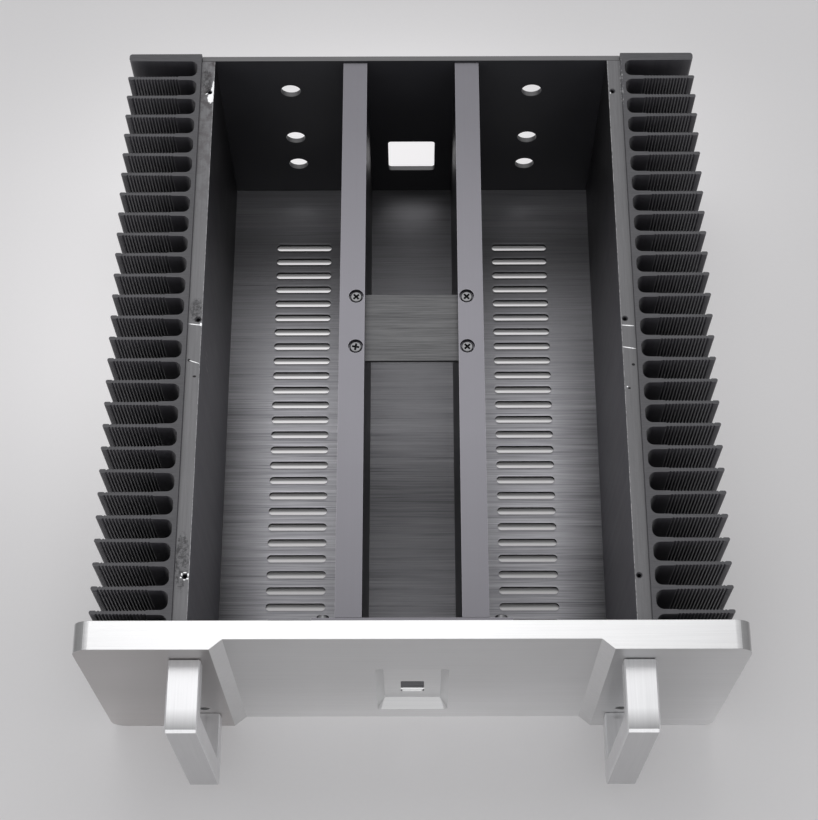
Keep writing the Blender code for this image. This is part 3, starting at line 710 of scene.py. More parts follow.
# Where the black has worn through, bare aluminium shines: beside the left rear hole, in dots and in lines.
bare_spots = [(-0.1512, 0.2222, 0.0024, 0.0046, 0.9), (-0.1499, 0.2285, 0.0014, 0.0040, 0.8),
              (-0.1495, 0.2335, 0.0008, 0.0038, 0.8), (-0.1541, 0.2262, 0.0011, 0.0005, 0.8, 0.6),
              (-0.1539, 0.03075, 0.0046, 0.00036, 0.25, -0.126), (-0.1498, 0.0308, 0.0008, 0.0013, 0.6),
              (-0.1532, 0.0012, 0.0037, 0.00032, 0.25, -0.356), (-0.1502, -0.1598, 0.0009, 0.0006, 0.8),
              (-0.1499, -0.1572, 0.0006, 0.0012, 0.8), (-0.1520, -0.1556, 0.0012, 0.0004, 0.8),
              (-0.1541, -0.1568, 0.0006, 0.0010, 0.8), (-0.1546, -0.1590, 0.0006, 0.0005, 0.8),
              (-0.1522, -0.1606, 0.0009, 0.0004, 0.8), (0.1505, 0.2262, 0.0005, 0.0009, 0.6),
              (0.1537, 0.0292, 0.0047, 0.00036, 0.25, -0.08), (0.1537, 0.0116, 0.0048, 0.00036, 0.25, -0.17),
              (0.1511, -0.0188, 0.0005, 0.0005, 0.4)]
bare = worn_mask(place, bare_spots)
seam = worn_spot(place, (0.1591, 0.235, 0.1935), (0.0011, 0.024, 0.003), 0.5)
seam = times(seam, 0.30, remap(noise(place, 500.0, 3.0), 0.50, 0.62))
bare = reckon("MAXIMUM", bare, seam)
for row, height, wide, tall in ((0.0246, 0.156, 0.0007, 0.0042), (0.0150, 0.150, 0.0006, 0.0055),
                                (0.0190, 0.161, 0.0005, 0.0030), (0.1150, 0.120, 0.0006, 0.0008)):
    scuff = worn_spot(place, (-WALL_X, row, height), (0.001, wide, tall), 1.0)
    bare = reckon("MAXIMUM", bare, times(scuff, 0.22))
roughness = mix_number(on_ledge, shade_to_range(film_shade, 0.38, 0.48), 0.36)
roughness = mix_number(times(on_ledge, marks_and_shade_mask), roughness, 0.85)
dress(shader, base_color=mix_colour(bare, colour, (0.82, 0.82, 0.83)), metallic=bare,
      roughness=mix_number(bare, roughness, 0.45), normal=die_normal)
finish_piece(left_sink, anodised, ["left_heatsink"])
finish_piece(right_sink, anodised, ["right_heatsink"])

# The front panel is a thick slab of aluminium, brushed along its length and clear anodised. Its corners are
# round, its middle is milled back over the full height, and a pocket with sloped sides holds the switch
# window. The handles and the heatsinks are screwed to it.
PANEL_BACK = -0.190
PANEL_FRONT = -0.210
PANEL_HALF = 0.225
PANEL_CORNER = 0.012
RECESS_FLOOR_HALF = 0.125
RECESS_MOUTH_HALF = 0.1335
RECESS_FLOOR = -0.203
POCKET_FLOOR = -0.195
POCKET_LOW = 0.0203
POCKET_HIGH = 0.1248
POCKET_HALF = 0.0258
POCKET_RUN = 0.0053
SWITCH_HALF = 0.00845
SWITCH_LOW = 0.0407
SWITCH_HIGH = 0.0673
SWITCH_CORNER = 0.0016
SEAT_HALF = 0.0125
SEAT_DEPTH = 0.0036
SEAT_LOW = 0.0329
SEAT_HIGH = 0.0713
HANDLE_SCREW_HEIGHTS = (0.0295, 0.1675)
STAY_SCREW_X = 0.0595
STAY_SCREW_HEIGHTS = (0.0093, 0.184)
COUNTERBORE = 0.0043
COUNTERBORE_DEPTH = 0.006
PANEL_THROUGH = 0.023


def round_corners(piece, axis, radius, segments):
    """Round a box's corners that run along an axis."""
    edit(piece)
    pick("EDGE", lambda place, run: abs(run[axis]) > 0.99)
    bpy.ops.mesh.bevel(offset=radius, segments=segments, affect="EDGES")
    close_up()
    leave()
    return piece


panel = start_box("front_panel_detail", (-PANEL_HALF, PANEL_FRONT, 0.0), (PANEL_HALF, PANEL_BACK, CASE_TOP))
round_corners(panel, 1, PANEL_CORNER, 14)
edit(panel)
for x in (-RECESS_MOUTH_HALF, -RECESS_FLOOR_HALF, RECESS_FLOOR_HALF, RECESS_MOUTH_HALF):
    slice_at((x, 0, 0), (1, 0, 0))
pick("VERT", lambda place, normal: same(place.y, PANEL_FRONT) and abs(place.x) < RECESS_FLOOR_HALF + 0.0001)
shift(y=RECESS_FLOOR - PANEL_FRONT)
leave()

pocket_z = (POCKET_LOW + POCKET_HIGH) / 2
pocket_run = POCKET_RUN * (POCKET_FLOOR - RECESS_FLOOR + 0.002) / (POCKET_FLOOR - RECESS_FLOOR)
floor_half = POCKET_HALF - POCKET_RUN
floor_high = (POCKET_HIGH - POCKET_LOW) / 2 - POCKET_RUN
mouth_half = floor_half + pocket_run
mouth_high = floor_high + pocket_run
pocket = start_box("pocket", (-mouth_half, RECESS_FLOOR - 0.003, pocket_z - mouth_high),
                   (mouth_half, RECESS_FLOOR - 0.002, pocket_z + mouth_high))
round_corners(pocket, 1, pocket_run * 0.45, 1)
edit(pocket)
bpy.ops.mesh.select_all(action="DESELECT")
bpy.ops.mesh.primitive_plane_add(size=1.0, location=(0.0, POCKET_FLOOR, pocket_z), rotation=FACINGS["-y"])
stretch((2 * floor_half, 1.0, 2 * floor_high), (0.0, POCKET_FLOOR, pocket_z))
bpy.ops.mesh.select_all(action="SELECT")
bpy.ops.mesh.convex_hull()
close_up()
leave()
carve(panel, [pocket])
switch = start_box("switch", (-SWITCH_HALF, POCKET_FLOOR - CUT_PAST, SWITCH_LOW),
                   (SWITCH_HALF, PANEL_BACK + CUT_PAST, SWITCH_HIGH))
seat = start_box("seat", (-SEAT_HALF, PANEL_BACK - SEAT_DEPTH, SEAT_LOW),
                 (SEAT_HALF, PANEL_BACK + CUT_PAST, SEAT_HIGH))
panel_holes = [round_corners(switch, 1, SWITCH_CORNER, 6), seat]
for side in SIDES:
    for heights, face, facing in ((PANEL_SCREW_HEIGHTS, PANEL_FRONT, "-y"),
                                  (HANDLE_SCREW_HEIGHTS, PANEL_BACK, "+y")):
        for height in heights:
            for radius, depth in ((COUNTERBORE, COUNTERBORE_DEPTH), (HOLE, PANEL_THROUGH)):
                panel_holes.append(bore((side * SCREW_X, face, height), facing, radius, depth))
    for height in STAY_SCREW_HEIGHTS:
        panel_holes.append(bore((side * STAY_SCREW_X, PANEL_BACK, height), "+y", HOLE, 0.0075))
for hole in panel_holes:
    carve(panel, [hole])
break_edges(panel, 0.00022, angle=60.0)


def band(value, low, rise, fall, high):
    """A mask that rises from low, is whole between rise and fall, and is gone at high."""
    return times(remap(value, low, rise), remap(value, high, fall))


def tones(value, stops):
    """A number from 0 to 2 that passes through the stops, each a place and a number."""
    return times(ramp(value, [(place, (painted_shading / 2,) * 3) for place, painted_shading in stops]), 2.0)


panel_silver, shader, place = new_finish("panel_silver", 0.34, 1.0)
shade, normal = brushed(place, (12.0, 1000.0, 1400.0), 0.4, 0.10)
silver = shade_to_colour(shade, (0.71, 0.71, 0.715), (0.84, 0.84, 0.845), 0.25, 0.75)
haze = filmed(place, 9.0, 700.0, 0.15, 0.0)["Shade"]
haze = shade_to_colour(haze, (0.94, 0.94, 0.935), (1.0, 1.0, 1.0))
silver = mix_colour(1.0, silver, haze, blend_type="MULTIPLY")
x, y, z = split_up(place)
turn_x, turn_y, turn_z = turned(place)
across = reckon("ABSOLUTE", x)
forward = remap(turn_y, -0.8, -0.95)
to_right = remap(x, -0.05, 0.05)

# The front face: its ends beside the recess are painted darker, the left one warmer, and a painted sheen
# changes with height and across.
ends = times(remap(across, RECESS_MOUTH_HALF - 0.001, RECESS_MOUTH_HALF), forward)
painted_end_shade = mix_colour(to_right, (0.77, 0.745, 0.735), (0.90, 0.90, 0.90))
silver = mix_colour(ends, silver, painted_end_shade, blend_type="MULTIPLY")
painted_sheen = tones(remap(x, -PANEL_HALF, PANEL_HALF),
              [(0.05, 1.0), (0.13, 0.94), (0.23, 0.924), (0.35, 1.0), (0.90, 1.01), (1.0, 1.16)])
painted_sheen = times(remap(z, 0.01, 0.10, 1.08, 0.88), remap(z, 0.10, 0.19, 1.0, 0.91), painted_sheen)
silver = scaled(silver, mix_number(forward, 1.0, painted_sheen))

# Painted shade on the recess's two sloped sides, the pocket's slopes, the top's right end and the round
# corners, in turn.
slant = reckon("ABSOLUTE", turn_y)
painted_recess_shade = mix_number(band(slant, 0.735, 0.755, 0.79, 0.81), 1.0, mix_number(to_right, 0.90, 0.94))
painted_pocket_shade = remap(reckon("ABSOLUTE", turn_x), 0.2, 0.8, 0.72, 0.755)
painted_pocket_shade = mix_number(band(slant, 0.50, 0.54, 0.56, 0.60), 1.0, painted_pocket_shade)
painted_top_shade = mix_number(remap(turn_z, 0.97, 0.99), 1.0, remap(x, 0.10, 0.21, 1.0, 0.91))
corner = times(band(turn_z, 0.35, 0.6, 0.92, 0.975),
               remap(across, PANEL_HALF - PANEL_CORNER, PANEL_HALF - 0.010))
painted_corner_shade = mix_number(corner, 1.0, 0.42)
silver = scaled(silver, times(painted_recess_shade, painted_pocket_shade, painted_top_shade, painted_corner_shade))
dress(shader, base_color=silver, roughness=shade_to_range(shade, 0.30, 0.40), normal=normal)
finish_piece(panel, panel_silver, ["front_panel"], smooth=14.0)

# Two pull handles are solid bars of the same aluminium, milled to a C with chamfered corners and edges,
# brushed along the bar, and screwed on from behind the panel.
HANDLE_HALF = 0.011
HANDLE_FRONT = -0.260
HANDLE_SEAT = -0.2102
HANDLE_LOW = 0.0225
HANDLE_HIGH = 0.1745
HANDLE_ARM = 0.014
GRIP_BACK = -0.245
FRONT_CHAMFER = 0.0028
SEAT_CHAMFER = 0.00098
SIDE_CHAMFER = 0.001008


def make_handle(name, x):
    handle = start_box(name, (x - HANDLE_HALF, HANDLE_FRONT, HANDLE_LOW),
                       (x + HANDLE_HALF, GRIP_BACK, HANDLE_HIGH))
    arm_tops = (HANDLE_LOW + HANDLE_ARM, HANDLE_HIGH - HANDLE_ARM)
    edit(handle)
    for height in arm_tops:
        slice_at((0, 0, height), (0, 0, 1))
    pick("FACE", lambda place, normal: normal.y > 0.99 and (place.z < arm_tops[0] or place.z > arm_tops[1]))
    push(y=HANDLE_SEAT - GRIP_BACK)
    for depth, width in ((HANDLE_FRONT, FRONT_CHAMFER), (HANDLE_SEAT, SEAT_CHAMFER)):
        pick("EDGE", lambda place, run: abs(run.x) > 0.99 and same(place.y, depth) and (
            same(place.z, HANDLE_LOW) or same(place.z, HANDLE_HIGH)))
        bpy.ops.mesh.bevel(offset=width, offset_type="WIDTH", segments=1, affect="EDGES")
    pick("FACE", lambda place, normal: abs(normal.x) > 0.99)
    bpy.ops.mesh.region_to_loop()
    bpy.ops.mesh.bevel(offset=SIDE_CHAMFER, segments=1, affect="EDGES")
    close_up()
    leave()
    carve(handle, [bore((x, HANDLE_SEAT, height), "+y", HOLE, HOLE_DEPTH, 16)
                   for height in HANDLE_SCREW_HEIGHTS])
    break_edges(handle, 0.00016, angle=25.0)
    return handle


handle_silver, shader, place = new_finish("handle_silver", 0.34, 1.0)
arm_shade, normal = brushed(place, (1000.0, 22.0, 1000.0), 0.45, 0.12)
grip_shade = brushed(place, (1000.0, 1000.0, 22.0), 0.45, 0.12)["Shade"]
x, y, z = split_up(place)
turn_x, turn_y, turn_z = turned(place, "Normal")
upright = remap(reckon("ABSOLUTE", turn_y), 0.75, 0.85)
shade = mix_number(upright, arm_shade, grip_shade)
silver = shade_to_colour(shade, (0.68, 0.68, 0.69), (0.83, 0.83, 0.84), 0.25, 0.75)
# Painted shade: the faces that look forward are darker, and the front end of each handle's top face is
# painted much darker.
top_end = times(remap(y, -0.244, -0.2575), remap(turn_z, 0.7, 0.9))
painted_shading = times(remap(turn_y, -0.85, -0.97, 1.0, 0.80), mix_number(top_end, 1.0, 0.42))
dress(shader, base_color=scaled(silver, painted_shading), roughness=shade_to_range(shade, 0.28, 0.38), normal=normal)
for name, side in (("left_handle", -1), ("right_handle", 1)):
    finish_piece(make_handle(name + "_detail", side * SCREW_X), handle_silver, [name],
                 smooth=14.0)

# The bottom is a plate of black anodised aluminium, brushed across, with two columns of punched vent slots
# with round ends. It is screwed into the heatsinks from below, and the rails stand on it.
PLATE_HALF = 0.1587
PLATE_THICK = 0.003
VENT_X = 0.0902
VENT_HALF = 0.023
VENT_ROUND = 0.003
VENT_ROWS = 27
FOOT_X = 0.0439
FOOT_ROWS = (-0.1314, 0.2002)


def countersink(piece, point, facing, radius, depth, mouth_sides=16, sides=16):
    """Carve a hole for a countersunk screw: a cone as deep as the hole's radius, and the hole."""
    carve(piece, [cone(point, facing, 2 * radius, radius, radius, mouth_sides)])
    carve(piece, [bore(point, facing, radius, depth, sides)])


bottom = start_box("bottom_plate_detail", (-PLATE_HALF, SINK_FRONT, 0.0),
                   (PLATE_HALF, REAR_STEP, PLATE_THICK))
vent = start_box("vents", (VENT_X - VENT_HALF, VENT_REAR - VENT_ROUND, -0.002),
                 (VENT_X + VENT_HALF, VENT_REAR + VENT_ROUND, PLATE_THICK + 0.002))
round_corners(vent, 2, VENT_ROUND - 0.00001, 8)
repeat(vent, VENT_ROWS, (0.0, -VENT_PITCH, 0.0))
repeat(vent, 2, (-2 * VENT_X, 0.0, 0.0))
carve(bottom, [vent])
for side in SIDES:
    for row in COVER_HOLE_ROWS:
        countersink(bottom, (side * EDGE_SCREW_X, row, 0.0), "-z", SMALL_HOLE, 0.006)
    for row in FOOT_ROWS:
        countersink(bottom, (side * FOOT_X, row, 0.0), "-z", HOLE, 0.006)
break_edges(bottom, 0.0009)

plate_brushed, shader, place = new_finish("plate_brushed", 0.42, 0.7)
shade, normal = brushed(place, (16.0, 1150.0, 700.0), 0.4, 0.5)
colour = shade_to_colour(shade, (0.085, 0.084, 0.093), (0.385, 0.382, 0.402))
x, y, z = split_up(place)
across = reckon("ABSOLUTE", x)

# The brushing shows less toward the rear. Painted shade: the plate is darker beside the walls, at its front
# and behind the middle of the side bays, and painted light lifts it between the rails.
colour = mix_colour(remap(y, 0.03, 0.16, 0.0, 0.62), colour, (0.205, 0.203, 0.215))
painted_wall_shade = times(remap(y, -0.12, 0.0, 0.46, 0.64), remap(y, 0.03, 0.15, 1.0, 2.5))
middle = remap(across, 0.056, 0.036)
painted_shading = mix_number(middle, remap(across, WALL_X, 0.114, painted_wall_shade, 1.72), 1.12)
painted_side_rear_shade = times(remap(y, 0.06, 0.185, 1.0, 0.42), remap(y, 0.205, 0.24, 1.0, 2.6))
painted_rear_shade = mix_number(middle, painted_side_rear_shade, remap(y, 0.10, 0.22, 1.0, 0.78))
painted_shading = times(painted_shading, remap(y, -0.03, -0.17, 1.0, 0.68), painted_rear_shade, remap(x, 0.0, 0.06, 1.0, 0.92))

# Painted shade and highlight beside each slot stand in for its edges rolled down by the punch: one side of it
# is dark and the other is bright.
painted_roll_shading = tones(along_vents(y),
               [(0.10, 1.0), (0.25, 0.22), (0.49, 0.22), (0.51, 1.6), (0.76, 1.6), (0.90, 1.0)])
from_vent = reckon("ABSOLUTE", reckon("SUBTRACT", across, VENT_X))
beside = times(remap(from_vent, VENT_HALF, VENT_HALF - 0.0025),
               remap(y, VENT_REAR + 0.0066, VENT_REAR + 0.0056), remap(y, -0.15, 0.16, 0.25, 1.0))
colour = scaled(colour, times(painted_shading, mix_number(beside, 1.0, painted_roll_shading)))

# Its broken edges get a painted highlight, except those that look to the rear, which are painted dark, and
# the slots' cut sides are painted black as their shade.
turn_x, turn_y, turn_z = turned(place)
level = reckon("ABSOLUTE", turn_z)
painted_edge_glint = mix_colour(remap(turn_y, 0.15, 0.25), (0.72, 0.72, 0.73), (0.03, 0.03, 0.032))
colour = mix_colour(remap(level, 0.985, 0.95), colour, painted_edge_glint)
colour = mix_colour(remap(level, 0.2, 0.4), (0.010, 0.010, 0.012), colour)
dress(shader, base_color=colour, roughness=shade_to_range(shade, 0.36, 0.50), normal=normal)
finish_piece(bottom, plate_brushed, ["bottom_plate"])

# The rear panel is a black anodised plate, sawn to size, with six round holes for sockets and a window
# for a mains inlet. Countersunk screws hold it to the heatsinks and the rails.
REAR_INNER = 0.2555
REAR_OUTER = 0.2595
SOCKET_X = 0.094
SOCKET_HEIGHTS = (0.0456, 0.0856, 0.152)
SOCKET_ROUND = 0.00775
INLET_HALF = 0.019
INLET_LOW = 0.0352
INLET_HIGH = 0.0788
INLET_CORNER = 0.0025
RAIL_END_X = 0.0424
RAIL_END_HEIGHT = 0.185
REAR_SCREWS = [(side * EDGE_SCREW_X, height) for side in SIDES for height in REAR_SCREW_HEIGHTS]
RAIL_SCREWS = [(side * RAIL_END_X, RAIL_END_HEIGHT) for side in SIDES]

rear = start_box("rear_panel_detail", (-PLATE_HALF, REAR_INNER, 0.0), (PLATE_HALF, REAR_OUTER, COVER_STEP))
inlet = start_box("inlet", (-INLET_HALF, REAR_INNER - CUT_PAST, INLET_LOW),
                  (INLET_HALF, REAR_OUTER + CUT_PAST, INLET_HIGH))
carve(rear, [round_corners(inlet, 1, INLET_CORNER, 6)])
for side in SIDES:
    for height in SOCKET_HEIGHTS:
        carve(rear, [bore((side * SOCKET_X, REAR_OUTER, height), "+y", SOCKET_ROUND, 0.006, 48)])
for x, height in REAR_SCREWS + RAIL_SCREWS:
    countersink(rear, (x, REAR_OUTER, height), "+y", HOLE, 0.006, 32, 24)
break_edges(rear, 0.00020)

rear_black, shader, place = new_finish("rear_black", 0.44, 0.0, 0.5)
shade, normal = filmed(place, 30.0, 1700.0, 0.4, 0.12)
colour = shade_to_colour(shade, (0.021, 0.021, 0.025), (0.031, 0.031, 0.036))
sawn = brushed(place, (60.0, 3000.0, 400.0), 0.5, 0.1)["Shade"]
sawn = shade_to_colour(sawn, (0.110, 0.109, 0.112), (0.160, 0.158, 0.162))
dress(shader, base_color=mix_colour(upward_mask(place), colour, sawn),
      roughness=shade_to_range(shade, 0.40, 0.50), normal=normal)
finish_piece(rear, rear_black, ["rear_panel"])

# Two rails run from the front stay to the rear panel: grey anodised extrusions with a thick head, a thin
# web at the inner side and a foot. The web has a slot for the cross plate, and the head has
# counterbores for its screws.
RAIL_INNER = 0.0334
RAIL_OUTER = 0.0514
RAIL_WEB = 0.0364
RAIL_FRONT = -0.1864
RAIL_HIGH = 0.190
RAIL_HEAD_LOW = 0.180
RAIL_FOOT_HIGH = 0.0063
SLOT_IN = (0.0076, 0.1761)
SLOT_OUT = (0.0612, 0.1797)
TIE_SCREW_X = 0.0396
TIE_ROWS = (0.0144, 0.0544)
TIE_HEAD_ROUND = 0.00535
TIE_HEAD_DEPTH = 0.004


def box_beside(name, side, near, far, low, high):
    """A box on one side of the middle, from near to far across, with low and high in Y and Z."""
    left, right = sorted((side * near, side * far))
    return start_box(name, (left, *low), (right, *high))


def make_rail(name, side):
    rail = box_beside(name, side, RAIL_INNER, RAIL_WEB, (RAIL_FRONT, PLATE_STEP), (REAR_STEP, RAIL_HIGH))
    edit(rail)
    slice_at((0, 0, RAIL_FOOT_HIGH), (0, 0, 1))
    slice_at((0, 0, RAIL_HEAD_LOW), (0, 0, 1))
    pick("FACE", lambda place, normal: normal.x * side > 0.99 and (
        place.z < RAIL_FOOT_HIGH or place.z > RAIL_HEAD_LOW))
    push(x=side * (RAIL_OUTER - RAIL_WEB))
    close_up()
    leave()
    carve(rail, [box_beside("slot", side, RAIL_INNER - CUT_PAST, RAIL_WEB + CUT_PAST, SLOT_IN, SLOT_OUT)])
    for row in TIE_ROWS:
        carve(rail, [bore((side * TIE_SCREW_X, row, RAIL_HIGH), "+z", TIE_HEAD_ROUND, TIE_HEAD_DEPTH)])
        carve(rail, [bore((side * TIE_SCREW_X, row, RAIL_HIGH), "+z", HOLE, 0.0145, 16)])
    for row in FOOT_ROWS:
        carve(rail, [bore((side * FOOT_X, row, PLATE_STEP), "-z", HOLE, 0.006, 12)])
    for end, facing in ((RAIL_FRONT, "-y"), (REAR_STEP, "+y")):
        carve(rail, [bore((side * RAIL_END_X, end, RAIL_END_HEIGHT), facing, HOLE, HOLE_DEPTH, 12)])
    break_edges(rail, 0.00030)
    return rail


rail_grey, shader, place = new_finish("rail_grey", 0.42, 1.0)
film_shade, normal = filmed(place, 60.0, 1600.0, 0.5, 0.15)
drawn_shade = brushed(place, (1500.0, 12.0, 1500.0), 0.6, 0.06)["Shade"]
shade = mix_number(0.4, film_shade, drawn_shade)
colour = shade_to_colour(shade, (0.190, 0.186, 0.204), (0.226, 0.221, 0.241))
x, y, z = split_up(place)
turn_x, turn_y, turn_z = turned(place)
# Painted light and shade: darker toward both ends, painted shade on the upright sides and a painted highlight
# along the broken edges.
painted_shading = times(remap(reckon("ABSOLUTE", y), 0.05, 0.20, 1.0, 0.82),
             remap(reckon("ABSOLUTE", turn_x), 0.8, 0.95, 1.0, 0.42),
             mix_number(band(turn_z, 0.25, 0.35, 0.94, 0.97), 1.0, 2.4))
dress(shader, base_color=scaled(colour, painted_shading), roughness=shade_to_range(shade, 0.38, 0.48), normal=normal)
for name, side in (("left_rail", -1), ("right_rail", 1)):
    finish_piece(make_rail(name + "_detail", side), rail_grey, [name])

# A plate ties the rails at mid length: dark anodised aluminium, brushed across, pushed into the slots
# of their webs and held by four screws.
TIE_HALF = 0.049
TIE_FRONT = 0.0079
TIE_REAR = 0.0609
TIE_LOW = 0.1764
TIE_HIGH = 0.1794
tie = start_box("cross_plate_detail", (-TIE_HALF, TIE_FRONT, TIE_LOW), (TIE_HALF, TIE_REAR, TIE_HIGH))
carve(tie, [bore((side * TIE_SCREW_X, row, TIE_HIGH), "+z", HOLE, 0.005, 16)
            for side in SIDES for row in TIE_ROWS])
break_edges(tie, 0.00025)

tie_brushed, shader, place = new_finish("cross_plate_brushed", 0.40, 0.8)
shade, normal = brushed(place, (26.0, 1300.0, 900.0), 0.30, 0.5)
dress(shader, base_color=shade_to_colour(shade, (0.046, 0.046, 0.048), (0.168, 0.168, 0.171)),
      roughness=shade_to_range(shade, 0.36, 0.48), normal=normal)
finish_piece(tie, tie_brushed, ["cross_plate"])

# The front stay stands behind the front panel and carries the rails' front ends: a plate with a window
# behind the switch, screwed to the panel near its four corners.
STAY_HALF = 0.067
STAY_REAR = -0.1867
WINDOW_LOW = 0.0160
WINDOW_HIGH = 0.0703
stay = start_box("front_stay_detail", (-STAY_HALF, SINK_FRONT, PLATE_STEP), (STAY_HALF, STAY_REAR, RAIL_HIGH))
carve(stay, [start_box("window", (-SEAT_HALF, SINK_FRONT - CUT_PAST, WINDOW_LOW),
                       (SEAT_HALF, STAY_REAR + CUT_PAST, WINDOW_HIGH))])
for side in SIDES:
    for height in STAY_SCREW_HEIGHTS:
        carve(stay, [bore((side * STAY_SCREW_X, STAY_REAR, height), "+y", HOLE, 0.005, 16)])
    countersink(stay, (side * RAIL_END_X, SINK_FRONT, RAIL_END_HEIGHT), "-y", HOLE, 0.005)
break_edges(stay, 0.00025)
finish_piece(stay, rail_grey, ["front_stay"])

# The screws are steel and were turned and pressed: silver pan heads with a cross, black cap heads with a
# hexagon, and black countersunk heads with a hexagon. Each kind is modelled once, standing on the origin,
# and each copy is turned its own way round.
PAN_ROUND = 0.0042
PAN_HIGH = 0.0026
CAP_ROUND = 0.0035
CAP_HIGH = 0.0040
SUNK_ROUND = 0.0040
SUNK_LOW = -0.0023
SUNK_TOP = -0.0003
SHANK_ROUND = 0.0020
OVERLAP = 0.0005
TIP_CHAMFER = 0.0005
CROSS_HALF = 0.00080
CROSS_ARM = 0.00215
PAN_RECESS = 0.0017
PAN_RECESS_ROUND = 0.0031
CAP_RECESS = 0.0018
CAP_HEXAGON = 0.0017
SUNK_RECESS = 0.0013
SUNK_HEXAGON = 0.0014


def start_round(radius, low, high, sides=40):
    """An upright cylinder primitive from low to high."""
    bpy.ops.object.select_all(action="DESELECT")
    bpy.ops.mesh.primitive_cylinder_add(vertices=sides, radius=radius, depth=high - low,
                                        location=(0, 0, (low + high) / 2))
    return settle()


def bevel_rim(piece, height, width, segments, profile=0.5):
    """Bevel a cylinder's edge at a height."""
    edit(piece)
    pick("EDGE", lambda place, run: same(place.z, height) and abs(run.z) < 0.1)
    bpy.ops.mesh.bevel(offset=width, segments=segments, profile=profile, affect="EDGES")
    leave()


def cross_recess(top, depth):
    """The cutter of a cross recess: a square core pushed out into four arms, narrower at the bottom."""
    core = start_box("cross", (-CROSS_HALF, -CROSS_HALF, top - depth), (CROSS_HALF, CROSS_HALF, top + 0.001))
    edit(core)
    for axis in (0, 1):
        for side in SIDES:
            pick("FACE", lambda place, normal: normal[axis] * side > 0.99 and abs(place[1 - axis]) < 0.0001)
            arm = [0.0, 0.0, 0.0]
            arm[axis] = side * CROSS_ARM
            push(*arm)
    pick("VERT", lambda place, normal: same(place.z, top - depth))
    stretch((0.7, 0.7, 1.0), (0.0, 0.0, top - depth))
    leave()
    return core


def complete_screw(head, length, low, cutter, top, edge, recess_round):
    """Fuse a head with its shank, cut the driver's recess, and give its inside a near black painted shade."""
    shank = start_round(SHANK_ROUND, low - length, low, 20)
    bevel_rim(shank, low - length, TIP_CHAMFER, 1)
    apply_modifier(head, "BOOLEAN", operation="UNION", solver="EXACT", object=shank)
    bpy.data.objects.remove(shank, do_unlink=True)
    carve(head, [cutter])
    break_edges(head, edge, 1, 50.0)
    for face in head.data.polygons:
        middle = face.center
        within = math.hypot(middle.x, middle.y) < recess_round
        face.material_index = int(within and top - 0.0022 < middle.z < top - 0.00005)
    return head


def pan_head_screw(reach, seat):
    """A pan head with a domed top: the seat is the head's underside, the tip is at minus reach."""
    top = seat + PAN_HIGH
    head = start_round(PAN_ROUND, seat, top)
    bevel_rim(head, top, 0.0011, 6, 0.6)
    cutter = cross_recess(top, PAN_RECESS)
    return complete_screw(head, reach + seat + OVERLAP, seat + OVERLAP, cutter, top, 0.00006,
                          PAN_RECESS_ROUND)


def cap_head_screw(reach, seat):
    """A cylinder head with a hexagon in it."""
    top = seat + CAP_HIGH
    head = start_round(CAP_ROUND, seat, top)
    bevel_rim(head, top, 0.0003, 2)
    cutter = start_round(CAP_HEXAGON, top - CAP_RECESS, top + 0.001, 6)
    return complete_screw(head, reach + seat + OVERLAP, seat + OVERLAP, cutter, top, 0.00008,
                          CAP_HEXAGON + 0.0003)


def sunk_head_screw(reach):
    """A countersunk head that ends just below the surface, with a hexagon in it."""
    head = start_round(SUNK_ROUND, SUNK_LOW, SUNK_TOP)
    edit(head)
    pick("VERT", lambda place, normal: same(place.z, SUNK_LOW))
    stretch((0.5, 0.5, 1.0), (0.0, 0.0, SUNK_LOW))
    leave()
    low = SUNK_LOW + OVERLAP
    cutter = start_round(SUNK_HEXAGON, SUNK_TOP - SUNK_RECESS, SUNK_TOP + 0.001, 6)
    return complete_screw(head, reach + low, low, cutter, SUNK_TOP, 0.00006, SUNK_HEXAGON + 0.0003)


def drive(model, name, points, facing, turns, material):
    """Copies of a screw at their points, each turned its own way about its axis."""
    for number, (point, turn) in enumerate(zip(points, turns), start=1):
        screw = copy_piece(model, f"{name}_{number}_detail")
        screw.rotation_euler = (0.0, 0.0, math.radians(turn))
        settle()
        screw.rotation_euler = FACINGS[facing]
        screw.location = point
        settle()
        finish_piece(screw, material, [f"{name}_{number}"], recess_painted_shade)
    bpy.data.objects.remove(model, do_unlink=True)


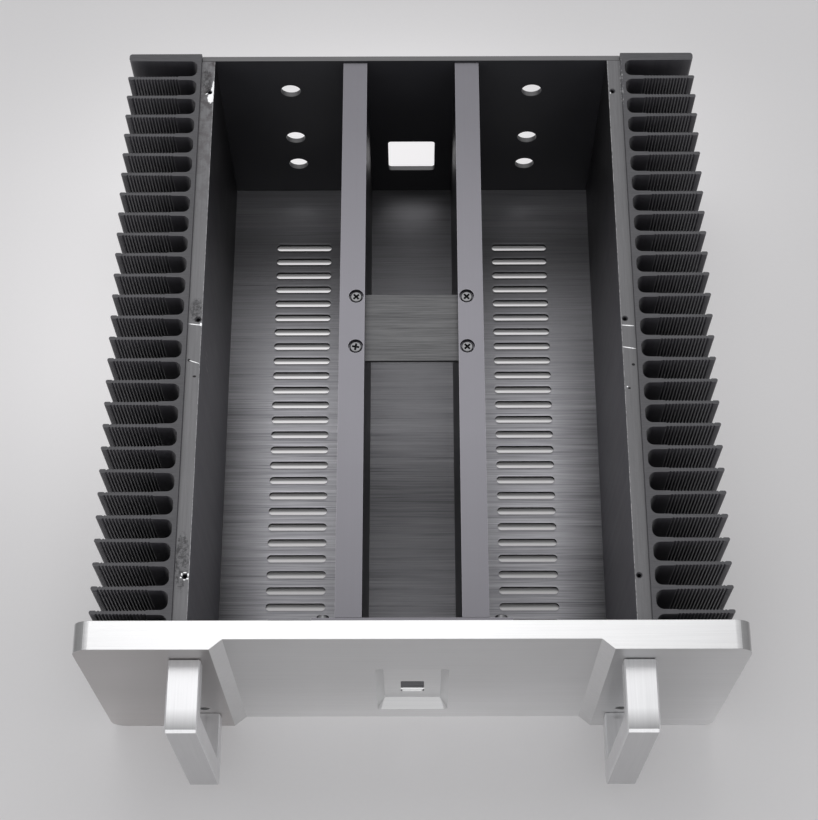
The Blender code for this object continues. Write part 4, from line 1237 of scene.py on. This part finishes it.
def screw_finish(name, metallic, specular, texture, dark, light, roughness):
    """A finish for small steel parts: a film between two colours, and a range of roughness."""
    material, shader, place = new_finish(name, roughness[0], metallic, specular)
    shade, normal = filmed(place, *texture)
    dress(shader, base_color=shade_to_colour(shade, dark, light),
          roughness=shade_to_range(shade, *roughness), normal=normal)
    return material


# The insides of the drivers' recesses are painted near black as their shade.
recess_painted_shade = screw_finish("recess_painted_shade", 0.0, 0.2, (400.0, 2500.0, 0.5, 0.1), (0.004, 0.004, 0.005),
                           (0.010, 0.010, 0.011), (0.6, 0.6))
screw_silver = screw_finish("screw_silver", 1.0, 0.5, (500.0, 2500.0, 0.3, 0.08), (0.150, 0.150, 0.154),
                            (0.210, 0.210, 0.215), (0.26, 0.38))
screw_black = screw_finish("screw_black", 0.0, 0.6, (400.0, 2500.0, 0.4, 0.1), (0.022, 0.022, 0.024),
                           (0.042, 0.042, 0.045), (0.32, 0.44))

tie_points = [(side * TIE_SCREW_X, row, RAIL_HIGH) for side in SIDES for row in TIE_ROWS]
drive(pan_head_screw(0.0142, -0.0037), "cross_plate_screw", tie_points, "+z", (-10.0, 42.0, 43.0, 44.0),
      screw_silver)
stay_points = [(side * STAY_SCREW_X, STAY_REAR, height) for side in SIDES for height in STAY_SCREW_HEIGHTS]
drive(pan_head_screw(0.0100, 0.0003), "front_stay_screw", stay_points, "+y", (20.0, 70.0, 5.0, 38.0),
      screw_silver)
panel_points = [(side * SCREW_X, PANEL_FRONT, height) for side in SIDES for height in PANEL_SCREW_HEIGHTS]
drive(cap_head_screw(0.0305, -0.0057), "panel_screw", panel_points, "-y", (4.0, 27.0, 41.0, 13.0),
      screw_black)
rear_points = [(x, REAR_OUTER, height) for x, height in REAR_SCREWS]
drive(sunk_head_screw(0.0145), "rear_panel_screw", rear_points, "+y", (8.0, 33.0, 51.0, 17.0, 26.0, 44.0),
      screw_black)
rail_points = [(x, REAR_OUTER, height) for x, height in RAIL_SCREWS]
drive(sunk_head_screw(0.0145), "rail_rear_screw", rail_points, "+y", (19.0, 36.0), screw_black)

# The screws that nothing shows, under the bottom plate, behind the panel and in the rails' front ends,
# stay as the frame has them and take the same black.
for name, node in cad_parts.items():
    if name.startswith(("handle_screw", "bottom_screw", "rail_foot_screw", "rail_front_screw")):
        for holder in node.material_slots:
            holder.material = screw_black
